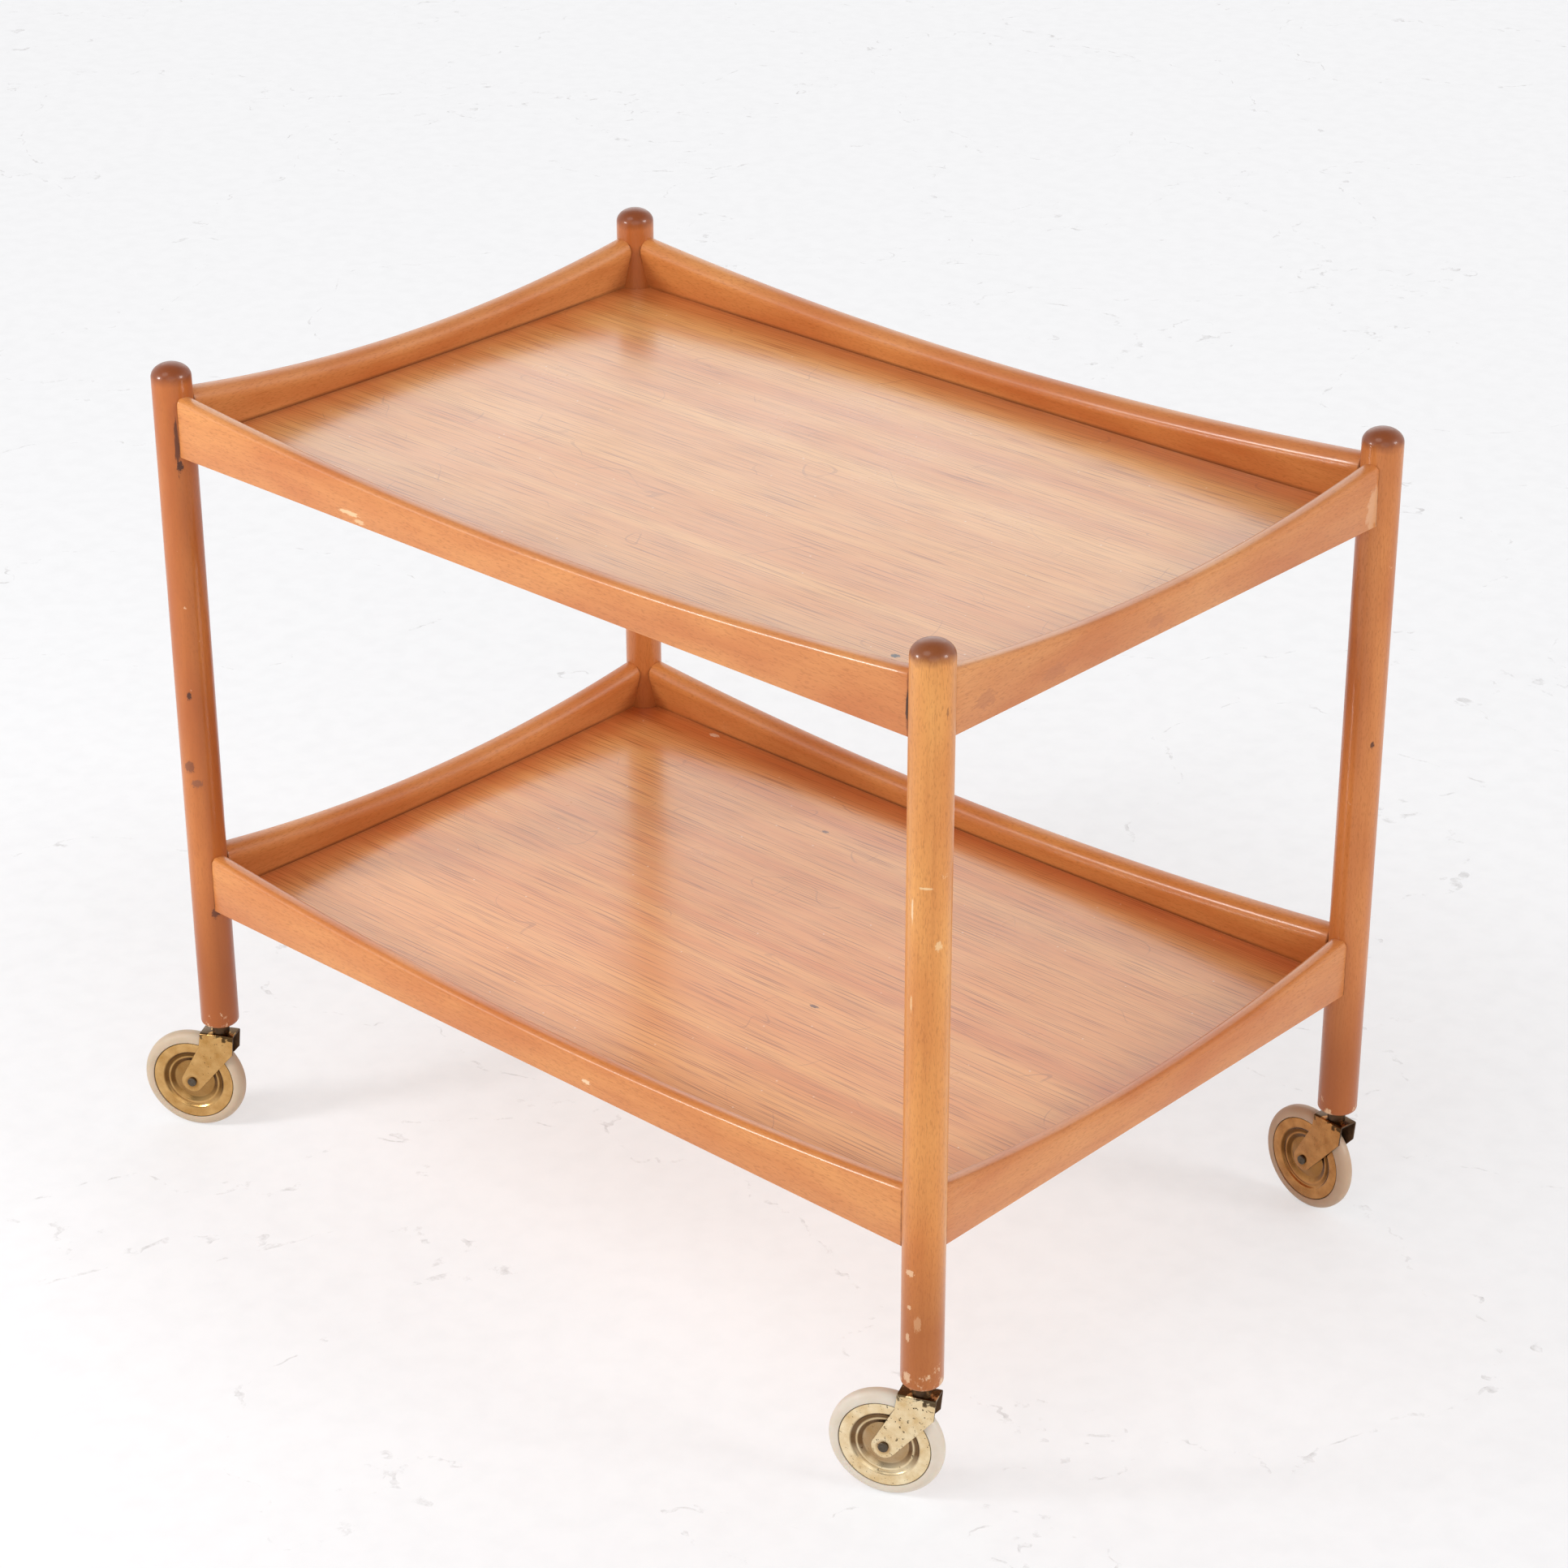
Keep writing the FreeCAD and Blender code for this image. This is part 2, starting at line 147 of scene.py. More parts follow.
def stained_beech(name, grain, deep, pale, coat_rough):
    """Beech stained honey brown under clear lacquer: soft stain clouds, straight faint grain,
    short dark ray flecks, pale chips where the lacquer is knocked off, and a few dark scuffs."""
    material, tree, here = new_material(name)
    # Stain clouds, drawn out along the grain
    cloud_at = add(tree, "Mapping", {"Vector": here, "Scale": along_grain(grain, 130, 34)})
    clouds = add(tree, "TexNoise", {"Vector": cloud_at, "Scale": 1.0, "Detail": 3.0})
    cloud_share = add(tree, "MapRange", {"Value": clouds, "From Min": 0.3, "From Max": 0.7})
    stain = add(tree, "MixRGB", {
        "Fac": cloud_share, "Color1": linear(deep), "Color2": linear(pale),
    })
    # Growth lines about 2 mm apart
    line_at = add(tree, "Mapping", {"Vector": here, "Scale": along_grain(grain, 90, 2.2)})
    lines = add(tree, "TexNoise", {"Vector": line_at, "Scale": 1.0, "Detail": 4.0})
    line_share = add(tree, "MapRange", {
        "Value": lines, "From Min": 0.45, "From Max": 0.75, "To Max": 0.24,
    })
    grained = add(tree, "MixRGB", {
        "Fac": line_share, "Color1": stain, "Color2": linear("#A85A22"),
    })
    # Ray flecks are about 3 mm by 0.4 mm, drawn twice as wide so that they show
    fleck_at = add(tree, "Mapping", {"Vector": here, "Scale": along_grain(grain, 4.2, 0.8)})
    flecks = add(tree, "TexNoise", {"Vector": fleck_at, "Scale": 1.0, "Detail": 2.0})
    fleck_share = add(tree, "MapRange", {
        "Value": flecks, "From Min": 0.52, "From Max": 0.68, "To Max": 0.4,
    })
    flecked = add(tree, "MixRGB", {
        "Fac": fleck_share, "Color1": grained, "Color2": linear("#A05A26"),
    })
    # Chips through the lacquer show pale bare wood
    chip_at = add(tree, "Mapping", {"Vector": here, "Scale": along_grain(grain, 9, 3.2)})
    chips = add(tree, "TexNoise", {"Vector": chip_at, "Scale": 1.0, "Detail": 5.0, "Roughness": 0.7})
    chip_share = add(tree, "MapRange", {"Value": chips, "From Min": 0.735, "From Max": 0.76})
    chipped = add(tree, "MixRGB", {
        "Fac": chip_share, "Color1": flecked, "Color2": linear("#F2D3A4"),
    })
    # Scuffs hold dark dirt, and the offset keeps them clear of the chips
    scuff_at = add(tree, "Mapping", {
        "Vector": here, "Location": (3.1, 5.7, 1.3), "Scale": along_grain(grain, 14, 7),
    })
    scuffs = add(tree, "TexNoise", {"Vector": scuff_at, "Scale": 1.0, "Detail": 6.0, "Roughness": 0.65})
    scuff_share = add(tree, "MapRange", {
        "Value": scuffs, "From Min": 0.715, "From Max": 0.77, "To Max": 0.75,
    })
    scuffed = add(tree, "MixRGB", {
        "Fac": scuff_share, "Color1": chipped, "Color2": linear("#6E3A20"),
    })
    # Hands have rubbed the lacquer to an uneven gloss
    rub_at = add(tree, "Mapping", {"Vector": here, "Scale": along_grain(grain, 60, 18)})
    rubs = add(tree, "TexNoise", {"Vector": rub_at, "Scale": 1.0, "Detail": 4.0})
    gloss = add(tree, "MapRange", {
        "Value": rubs, "From Min": 0.3, "From Max": 0.7, "To Min": 0.28, "To Max": 0.44,
    })
    rough = add(tree, "Math", {0: gloss, 1: chip_share}, operation="MAXIMUM")
    bump = add(tree, "Bump", {"Height": flecks, "Strength": 0.06, "Distance": 0.0003})
    shader = add(tree, "BsdfPrincipled", {
        "Base Color": scuffed, "Roughness": rough, "IOR": 1.5, "Specular IOR Level": 0.3, "Normal": bump,
        "Coat Weight": 0.35, "Coat Roughness": coat_rough,
    })
    add(tree, "OutputMaterial", {"Surface": shader})
    return material, tree, here, scuffed, shader


def mark(tree, here, colour, at, size, tint, strength):
    """Blends one ragged chip or stain, this large about a point, into a colour."""
    spot = add(tree, "Mapping", {"Vector": here, "Location": at, "Scale": size}, vector_type="TEXTURE")
    off_middle = add(tree, "VectorMath", {0: spot}, operation="LENGTH")
    torn = add(tree, "TexNoise", {"Vector": spot, "Scale": 2.4, "Detail": 6.0, "Roughness": 0.7})
    edge = add(tree, "Math", {0: torn, 1: 2.2, 2: off_middle.outputs["Value"]}, operation="MULTIPLY_ADD")
    share = add(tree, "MapRange", {
        "Value": edge, "From Min": 2.0, "From Max": 1.75, "To Max": strength,
    })
    return add(tree, "MixRGB", {"Fac": share, "Color1": colour, "Color2": linear(tint)})


def lathe(outline, facets):
    """A mesh turned about Z from (radius, height) points."""
    bm = bmesh.new()
    points = [bm.verts.new((radius, 0, height)) for radius, height in outline]
    edges = [bm.edges.new(pair) for pair in zip(points, points[1:])]
    bmesh.ops.spin(
        bm, geom=points + edges, axis=(0, 0, 1), cent=(0, 0, 0),
        angle=math.tau, steps=facets, use_merge=True,
    )
    bmesh.ops.remove_doubles(bm, verts=bm.verts, dist=MERGE_GAP)
    bmesh.ops.recalc_face_normals(bm, faces=bm.faces)
    return bm


def ring(bm, radius, height):
    """The edges of one turned ring."""
    found = []
    for edge in bm.edges:
        if all(abs(math.hypot(v.co.x, v.co.y) - radius) < SAME_PLACE for v in edge.verts):
            if all(abs(v.co.z - height) < SAME_PLACE for v in edge.verts):
                found.append(edge)
    return found


def ease(bm, edges, width, segments):
    """Rounds edges over."""
    bmesh.ops.bevel(
        bm, geom=edges, offset=width, offset_type="OFFSET", affect="EDGES",
        segments=segments, profile=0.5, material=-1,
    )


def finish_piece(name, bm, material, body, node):
    """A mesh as an object at the origin, riding on its body in place of a CAD node."""
    mesh = bpy.data.meshes.new(name)
    bm.to_mesh(mesh)
    bm.free()
    mesh.materials.append(material)
    mesh.shade_smooth()
    mesh.set_sharp_from_angle(angle=CREASE)
    piece = bpy.data.objects.new(name, mesh)
    bpy.context.scene.collection.objects.link(piece)
    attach(piece, body)
    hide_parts(node)
    return piece


foot_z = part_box("front_left_leg")[0][2]
leg_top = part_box("front_left_leg")[1][2]
shoulder_z = leg_top - DOME_HEIGHT
leg_beech = {}
for corner, (deep, pale) in LEG_TONES.items():
    leg_beech[corner], tree, here, colour, shader = stained_beech(
        f"{corner}_leg_stained_beech", UPRIGHT, deep, pale, LEG_LACQUER_ROUGH,
    )
    # The end grain of the dome drank more stain, fading raggedly below the shoulder
    height = add(tree, "SeparateXYZ", {"Vector": here}).outputs["Z"]
    edge_at = add(tree, "Mapping", {"Vector": here, "Scale": per_mm(9, 9, 9)})
    edge_noise = add(tree, "TexNoise", {"Vector": edge_at, "Scale": 1.0, "Detail": 3.0})
    edge_shift = add(tree, "MapRange", {"Value": edge_noise, "To Min": -0.0035, "To Max": 0.0035})
    ragged = add(tree, "Math", {0: height, 1: edge_shift}, operation="ADD")
    end_grain = add(tree, "MapRange", {
        "Value": ragged, "From Min": shoulder_z - END_GRAIN_BELOW,
        "From Max": shoulder_z + END_GRAIN_ABOVE, "To Max": 0.9,
    })
    domed = add(tree, "MixRGB", {"Fac": end_grain, "Color1": colour, "Color2": linear("#7A3A18")})
    # Painted shade darkens and browns the last hand's breadth of the leg, most at the foot
    foot_shade_share = add(tree, "MapRange", {
        "Value": height, "From Min": foot_z + FOOT_SHADE_TOP, "From Max": foot_z + FOOT_SHADE_FULL, "To Max": 0.72,
    })
    foot_shaded = add(tree, "MixRGB", {"Fac": foot_shade_share, "Color1": domed, "Color2": linear("#984C10")})
    # Kicks and mops have worn the lacquer off the foot
    worn_at = add(tree, "Mapping", {"Vector": here, "Scale": per_mm(12, 12, 16)})
    worn_noise = add(tree, "TexNoise", {"Vector": worn_at, "Scale": 1.0, "Detail": 6.0, "Roughness": 0.7})
    foot_reach = add(tree, "MapRange", {
        "Value": height, "From Min": foot_z, "From Max": foot_z + WORN_TOP, "To Min": 0.17, "To Max": 0.0,
    })
    worn_level = add(tree, "Math", {0: worn_noise, 1: foot_reach}, operation="ADD")
    worn_share = add(tree, "MapRange", {
        "Value": worn_level, "From Min": 0.69, "From Max": 0.76, "To Max": 0.75,
    })
    marked = add(tree, "MixRGB", {"Fac": worn_share, "Color1": foot_shaded, "Color2": linear("#EBC9A0")})
    for at, size, tint, strength in LEG_MARKS[corner]:
        marked = mark(tree, here, marked, at, size, tint, strength)
    tree.links.new(marked.outputs[0], shader.inputs["Base Color"])

leg_axes = {}
for corner in CORNERS:
    low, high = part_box(corner + "_leg")
    leg_axes[corner] = Vector(((low[0] + high[0]) / 2, (low[1] + high[1]) / 2, 0))
    bm = bmesh.new()
    shoulder = bm.verts.new((LEG_RADIUS, 0, shoulder_z))
    crown = Vector((0, 0, shoulder_z))
    bmesh.ops.spin(bm, geom=[shoulder], axis=(0, -1, 0), cent=crown, angle=math.pi / 2, steps=DOME_STEPS)
    bmesh.ops.scale(
        bm, vec=(1, 1, DOME_HEIGHT / LEG_RADIUS), space=Matrix.Translation(-crown), verts=bm.verts,
    )
    foot_outline = [
        (0, foot_z + SOCKET_DEPTH), (SOCKET_BORE, foot_z + SOCKET_DEPTH),
        (SOCKET_BORE, foot_z), (LEG_RADIUS, foot_z),
    ]
    points = [bm.verts.new((radius, 0, z)) for radius, z in foot_outline]
    bm.verts.ensure_lookup_table()
    points.append(bm.verts[0])
    for pair in zip(points, points[1:]):
        bm.edges.new(pair)
    bmesh.ops.spin(
        bm, geom=bm.verts[:] + bm.edges[:], axis=(0, 0, 1), cent=(0, 0, 0),
        angle=math.tau, steps=LEG_FACETS, use_merge=True,
    )
    bmesh.ops.remove_doubles(bm, verts=bm.verts, dist=MERGE_GAP)
    bmesh.ops.recalc_face_normals(bm, faces=bm.faces)
    ease(bm, ring(bm, LEG_RADIUS, foot_z), FOOT_EASING, 5)
    bmesh.ops.translate(bm, vec=leg_axes[corner], verts=bm.verts)
    finish_piece(
        corner + "_turned_leg", bm, leg_beech[corner], "frame", corner + "_leg",
    )

# Rails
# Eight rails of the same beech: straight underneath, hollowed along the top, rounded over outside
# and moulded to a fat bead inside. The ends are coped round the legs and tenoned into them.
RAIL_END_DEPTH = 0.0440
RAIL_MID_DEPTH = 0.0274
RAIL_FACE_OFFSET = 0.0074
RAIL_LIP = 0.01095
RAIL_UNDERCUT = math.tan(math.radians(14.4))
OUTER_ROUND = 0.0045
INNER_ROUND_REACH = 0.01225
LOWER_ARRIS = 0.0009
REBATE_WALL = 0.0050
PANEL_THICKNESS = 0.0050
RAIL_CUTS = 47
COPE_BITE = 0.0002
COPE_REACH = 0.0060
END_EASING = 0.0016
END_ALLOWANCE = 0.0015
TENON = Vector((0.0198, 0.0065, 0.0260))
TENON_MIDDLE = Vector((0, -0.00175, 0.0230))
SIDE_TURNS = {"front": 0, "right": 1, "back": 2, "left": 3}
RAIL_LACQUER_ROUGH = 0.13
JOINT_DIRT = 0.0020
# Painted shade in the corner between a rail and a panel: where it starts, where it is full, and how far
# below the panel's top it reaches
CORNER_SHADE = 0.0030
CORNER_SHADE_FULL = 0.0008
CORNER_SHADE_BELOW = 0.0010
RAIL_TONES = {"long": ("#C06E36", "#D89252"), "short": ("#C07038", "#D69256")}
# Chips, stains and old glue that show: middle, reach, colour and strength
RAIL_MARKS = {
    "long": (
        ((-0.1601, -0.2389, 0.5619), (0.012, 0.004, 0.002), "#EBC79A", 0.75),
        ((-0.1500, -0.2389, 0.5580), (0.006, 0.004, 0.002), "#EBC79A", 0.6),
        ((0.3372, -0.2389, 0.5740), (0.002, 0.004, 0.014), "#2A140A", 0.9),
        ((0.0528, -0.2389, 0.2023), (0.005, 0.004, 0.002), "#F0D6B0", 0.7),
    ),
    "short": (
        ((0.3574, -0.1901, 0.5688), (0.005, 0.012, 0.007), "#A8643C", 0.45),
        ((0.3574, -0.1240, 0.5645), (0.005, 0.014, 0.006), "#A8643C", 0.35),
        ((0.3574, -0.0226, 0.5653), (0.005, 0.010, 0.005), "#A8643C", 0.35),
        ((0.3574, 0.2141, 0.5674), (0.005, 0.009, 0.020), "#DDAA80", 0.6),
    ),
}


def rail_mesh(half_span):
    """A rail in its own frame: X along it, +Y inwards, Z up from its underside."""
    bm = bmesh.new()
    half_length = half_span - LEG_RADIUS + END_ALLOWANCE
    outer = -RAIL_FACE_OFFSET
    rebate = outer + REBATE_WALL
    bead_foot = RAIL_LIP - (RAIL_MID_DEPTH - PANEL_THICKNESS) * RAIL_UNDERCUT
    section = [
        (outer, 0), (rebate, 0), (rebate, PANEL_THICKNESS), (bead_foot, PANEL_THICKNESS),
        (RAIL_LIP, RAIL_MID_DEPTH), (outer, RAIL_MID_DEPTH),
    ]
    end = bm.faces.new([bm.verts.new((-half_length, y, z)) for y, z in section])
    swept = bmesh.ops.extrude_face_region(bm, geom=[end], use_keep_orig=True)["geom"]
    far = [item for item in swept if isinstance(item, bmesh.types.BMVert)]
    bmesh.ops.translate(bm, vec=(2 * half_length, 0, 0), verts=far)
    long_edges = [e for e in bm.edges if abs(e.verts[0].co.x - e.verts[1].co.x) > half_length]
    bmesh.ops.subdivide_edges(bm, edges=long_edges, cuts=RAIL_CUTS, use_grid_fill=True)

    def line(y, z):
        at = [v for v in bm.verts if max(abs(v.co.y - y), abs(v.co.z - z)) < SAME_PLACE]
        chosen = set(at)
        return [e for e in bm.edges if e.verts[0] in chosen and e.verts[1] in chosen], at

    outer_top, outer_top_points = line(outer, RAIL_MID_DEPTH)
    inner_top, inner_top_points = line(RAIL_LIP, RAIL_MID_DEPTH)
    outer_foot, _ = line(outer, 0)
    _, bead_foot_points = line(bead_foot, PANEL_THICKNESS)
    for point in outer_top_points + inner_top_points + bead_foot_points:
        rise = (RAIL_END_DEPTH - RAIL_MID_DEPTH) * (point.co.x / (half_span - LEG_RADIUS)) ** 2
        if point in bead_foot_points:
            point.co.y -= rise * RAIL_UNDERCUT
        else:
            point.co.z += rise
    ease(bm, outer_top, OUTER_ROUND, 6)
    ease(bm, inner_top, INNER_ROUND_REACH, 12)
    ease(bm, outer_foot, LOWER_ARRIS, 2)
    end_edges = []
    for edge in bm.edges:
        if all(abs(v.co.x) > half_length - SAME_PLACE for v in edge.verts):
            if max(v.co.z for v in edge.verts) > PANEL_THICKNESS + SAME_PLACE:
                end_edges.append(edge)
    ease(bm, end_edges, END_EASING, 4)
    # Coping: the last few millimetres are drawn on or held back to meet the round of the leg
    for point in bm.verts:
        near_end = 1 - (half_length - abs(point.co.x)) / COPE_REACH
        if near_end > 0:
            meeting = half_span - math.sqrt((LEG_RADIUS - COPE_BITE) ** 2 - point.co.y**2)
            point.co.x += math.copysign(near_end * (meeting - half_length), point.co.x)
    for way in (-1, 1):
        middle = TENON_MIDDLE + Vector((way * (half_span - LEG_RADIUS), 0, 0))
        bmesh.ops.create_cube(bm, size=1, matrix=Matrix.LocRotScale(middle, None, TENON))
    bmesh.ops.recalc_face_normals(bm, faces=bm.faces)
    return bm


rail_beech = {}
for grain, run in enumerate(RAIL_TONES):
    material, tree, here, colour, shader = stained_beech(
        f"{run}_rail_stained_beech", grain, *RAIL_TONES[run], RAIL_LACQUER_ROUGH,
    )
    # Old glue and dirt darken the joint where the rail's end meets the leg
    place = add(tree, "SeparateXYZ", {"Vector": here})
    from_middle = add(tree, "Math", {0: place.outputs["XY"[grain]]}, operation="ABSOLUTE")
    joint = leg_axes["back_right"][grain] - math.sqrt(LEG_RADIUS**2 - RAIL_FACE_OFFSET**2)
    dirt_at = add(tree, "Mapping", {"Vector": here, "Scale": per_mm(8, 8, 8)})
    dirt_noise = add(tree, "TexNoise", {"Vector": dirt_at, "Scale": 1.0, "Detail": 4.0})
    dirt_shift = add(tree, "MapRange", {"Value": dirt_noise, "To Min": -0.0016, "To Max": 0.0014})
    dirt_edge = add(tree, "Math", {0: from_middle, 1: dirt_shift}, operation="ADD")
    dirt = add(tree, "MapRange", {
        "Value": dirt_edge, "From Min": joint - JOINT_DIRT, "From Max": joint, "To Max": 0.85,
    })
    marked = add(tree, "MixRGB", {"Fac": dirt, "Color1": colour, "Color2": linear("#4A2512")})
    # Painted shade darkens the corner between the rail's inner side and the panel
    inner_side = leg_axes["back_right"][1 - grain]
    sideways = add(tree, "Math", {0: place.outputs["YX"[grain]]}, operation="ABSOLUTE")
    inside = add(tree, "MapRange", {
        "Value": sideways, "From Min": inner_side, "From Max": inner_side - CORNER_SHADE, "To Max": 0.7,
    })
    for tray in ("upper", "lower"):
        corner_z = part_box(tray + "_tray_panel")[1][2]
        off_corner = add(tree, "Math", {0: place.outputs["Z"], 1: corner_z}, operation="SUBTRACT")
        near_corner = add(tree, "MapRange", {
            "Value": off_corner, "From Min": CORNER_SHADE, "From Max": CORNER_SHADE_FULL,
        })
        above_corner = add(tree, "Math", {0: off_corner, 1: -CORNER_SHADE_BELOW}, operation="GREATER_THAN")
        shaded_corner = add(tree, "Math", {0: near_corner, 1: above_corner}, operation="MULTIPLY")
        shaded_inside = add(tree, "Math", {0: shaded_corner, 1: inside}, operation="MULTIPLY")
        marked = add(tree, "MixRGB", {
            "Fac": shaded_inside, "Color1": marked, "Color2": linear("#552812"),
        })
    for at, size, tint, strength in RAIL_MARKS[run]:
        marked = mark(tree, here, marked, at, size, tint, strength)
    tree.links.new(marked.outputs[0], shader.inputs["Base Color"])
    rail_beech[run] = material

for side, turns in SIDE_TURNS.items():
    run = "long" if turns % 2 == 0 else "short"
    half_span = leg_axes["back_right"][turns % 2]
    distance = leg_axes["back_right"][1 - turns % 2]
    for tray in ("upper", "lower"):
        node = f"{tray}_{side}_rail"
        base_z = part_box(node)[0][2]
        bm = rail_mesh(half_span)
        bmesh.ops.translate(bm, vec=(0, -distance, base_z), verts=bm.verts)
        turn = Matrix.Rotation(turns * math.pi / 2, 3, "Z")
        bmesh.ops.rotate(bm, cent=(0, 0, 0), matrix=turn, verts=bm.verts)
        finish_piece(f"{tray}_{side}_moulded_rail", bm, rail_beech[run], "frame", node)

# Tray panels
# Two sheets of plywood faced with straight-grained teak veneer, glued into the rebates under the
# rails and lacquered to a satin shine that years of trays and cups have lightly scratched.
# Where the painted reflection of the rails in the panel starts, where it fades in and where it is full
RAIL_REFLECTION_START = 0.0052
RAIL_REFLECTION_FADE = 0.034
RAIL_REFLECTION_FULL = 0.006
# A burn, crumbs and a chip: middle, reach, colour and strength
PANEL_MARKS = (
    ((0.2618, -0.1633, 0.5595), (0.004, 0.003, 0.004), "#080302", 1.0),
    ((0.0939, -0.0524, 0.1985), (0.005, 0.002, 0.004), "#5E321C", 0.9),
    ((-0.0814, 0.1548, 0.1985), (0.004, 0.002, 0.004), "#5E321C", 0.9),
    ((-0.2626, 0.2222, 0.1985), (0.006, 0.003, 0.004), "#F0DCC4", 0.8),
)
# Teak veneer shows warm brown ribbons with dark pore lines, and its lacquer a broad soft sheen
veneer, tree, here = new_material("lacquered_teak_veneer")
# The grain sways a little from side to side
sway_at = add(tree, "Mapping", {"Vector": here, "Scale": per_mm(260, 60, 60)})
sway = add(tree, "TexNoise", {"Vector": sway_at, "Scale": 1.0, "Detail": 2.0})
sway_shift = add(tree, "MapRange", {"Value": sway, "To Min": -0.0018, "To Max": 0.0018})
sway_side = add(tree, "CombineXYZ", {"Y": sway_shift})
swayed = add(tree, "VectorMath", {0: here, 1: sway_side}, operation="ADD")
ribbon_at = add(tree, "Mapping", {"Vector": swayed, "Scale": per_mm(900, 30, 30)})
ribbons = add(tree, "TexNoise", {"Vector": ribbon_at, "Scale": 1.0, "Detail": 3.0})
ribbon_share = add(tree, "MapRange", {"Value": ribbons, "From Min": 0.32, "From Max": 0.68})
ribboned = add(tree, "MixRGB", {
    "Fac": ribbon_share, "Color1": linear("#D68B4E"), "Color2": linear("#E4A866"),
})
# Pores run together in brown lines, drawn about a millimetre wide so that they show
pore_at = add(tree, "Mapping", {"Vector": swayed, "Scale": per_mm(70, 0.95, 0.95)})
pores = add(tree, "TexNoise", {"Vector": pore_at, "Scale": 1.0, "Detail": 3.0})
pore_share = add(tree, "MapRange", {
    "Value": pores, "From Min": 0.52, "From Max": 0.64, "To Max": 0.75,
})
pored = add(tree, "MixRGB", {"Fac": pore_share, "Color1": ribboned, "Color2": linear("#945020")})
# Wider brown streaks follow the growth rings
streak_at = add(tree, "Mapping", {"Vector": swayed, "Scale": per_mm(240, 4.5, 4.5)})
streaks = add(tree, "TexNoise", {"Vector": streak_at, "Scale": 1.0, "Detail": 3.0})
streak_share = add(tree, "MapRange", {
    "Value": streaks, "From Min": 0.5, "From Max": 0.7, "To Max": 0.22,
})
streaked = add(tree, "MixRGB", {"Fac": streak_share, "Color1": pored, "Color2": linear("#A8653A")})
# Hairline scratches follow the contour lines of a slow noise, broken up by a second one
hair_at = add(tree, "Mapping", {"Vector": here, "Scale": per_mm(75, 75, 75)})
hair = add(tree, "TexNoise", {"Vector": hair_at, "Scale": 1.0, "Detail": 1.0, "Distortion": 0.6})
hair_line = add(tree, "Math", {0: hair, 1: 0.5, 2: 0.0035}, operation="COMPARE")
hair_gap_at = add(tree, "Mapping", {"Vector": here, "Scale": per_mm(40, 40, 40)})
hair_gap = add(tree, "TexNoise", {"Vector": hair_gap_at, "Scale": 1.0, "Detail": 2.0})
hair_kept = add(tree, "MapRange", {"Value": hair_gap, "From Min": 0.52, "From Max": 0.6, "To Max": 0.35})
hair_share = add(tree, "Math", {0: hair_line, 1: hair_kept}, operation="MULTIPLY")
scratched = add(tree, "MixRGB", {"Fac": hair_share, "Color1": streaked, "Color2": linear("#8A4C2A")})
# Pale specks of lint and dust
speck_at = add(tree, "Mapping", {"Vector": here, "Scale": per_mm(17, 17, 17)})
specks = add(tree, "TexVoronoi", {"Vector": speck_at, "Scale": 1.0})
speck_share = add(tree, "MapRange", {
    "Value": specks, "From Min": 0.05, "From Max": 0.035, "To Max": 0.6,
})
specked = add(tree, "MixRGB", {"Fac": speck_share, "Color1": scratched, "Color2": linear("#F3DCC4")})
# A reddened band along the rails is their painted reflection in the lacquer
spot = add(tree, "SeparateXYZ", {"Vector": here})
margins = []
for axis in (0, 1):
    off_middle = add(tree, "Math", {0: spot.outputs[axis]}, operation="ABSOLUTE")
    reach = leg_axes["back_right"][axis] - RAIL_REFLECTION_START
    margins.append(add(tree, "Math", {0: reach, 1: off_middle}, operation="SUBTRACT"))
margin = add(tree, "Math", {0: margins[0], 1: margins[1]}, operation="MINIMUM")
rail_reflection = add(tree, "MapRange", {
    "Value": margin, "From Min": RAIL_REFLECTION_FADE, "From Max": RAIL_REFLECTION_FULL, "To Max": 0.4,
})
marked = add(tree, "MixRGB", {"Fac": rail_reflection, "Color1": specked, "Color2": linear("#CC622C")})
for at, size, tint, strength in PANEL_MARKS:
    marked = mark(tree, here, marked, at, size, tint, strength)
# Use has dulled the lacquer in patches
haze_at = add(tree, "Mapping", {"Vector": here, "Scale": per_mm(90, 90, 90)})
haze = add(tree, "TexNoise", {"Vector": haze_at, "Scale": 1.0, "Detail": 5.0})
satin = add(tree, "MapRange", {
    "Value": haze, "From Min": 0.3, "From Max": 0.7, "To Min": 0.26, "To Max": 0.4,
})
bump = add(tree, "Bump", {"Height": pores, "Strength": 0.08, "Distance": 0.0003})
shader = add(tree, "BsdfPrincipled", {
    "Base Color": marked, "Roughness": satin, "IOR": 1.5, "Specular IOR Level": 0.3, "Normal": bump,
    "Coat Weight": 0.85, "Coat Roughness": 0.2,
})
add(tree, "OutputMaterial", {"Surface": shader})
for tray in ("upper", "lower"):
    frame["nodes"][tray + "_tray_panel"].material_slots[0].material = veneer

# Caster sockets
# Short lengths of plain drawn steel tube, a push fit in the holes bored into the feet of the legs.
# Each grips the stem of a caster, which turns in it.


def aged_steel(name, patch, detail, bare, aged, metallic, smooth, rough):
    """Steel whose colour and shine drift from bare to aged over patches of a size in millimetres."""
    material, tree, here = new_material(name)
    patch_at = add(tree, "Mapping", {"Vector": here, "Scale": per_mm(*patch)})
    patches = add(tree, "TexNoise", {"Vector": patch_at, "Scale": 1.0, "Detail": detail})
    colour = add(tree, "MixRGB", {"Fac": patches, "Color1": linear(bare), "Color2": linear(aged)})
    shine = add(tree, "MapRange", {"Value": patches, "To Min": smooth, "To Max": rough})
    shader = add(tree, "BsdfPrincipled", {
        "Base Color": colour, "Metallic": metallic, "Roughness": shine,
    })
    add(tree, "OutputMaterial", {"Surface": shader})
    return material


# Drawn tube is a dull grey metal, browned by grime in long patches
socket_steel = aged_steel("drawn_steel_tube", (4, 4, 12), 4.0, "#8C8780", "#5A5148", 1.0, 0.3, 0.6)
frame["nodes"]["caster_sockets"].material_slots[0].material = socket_steel

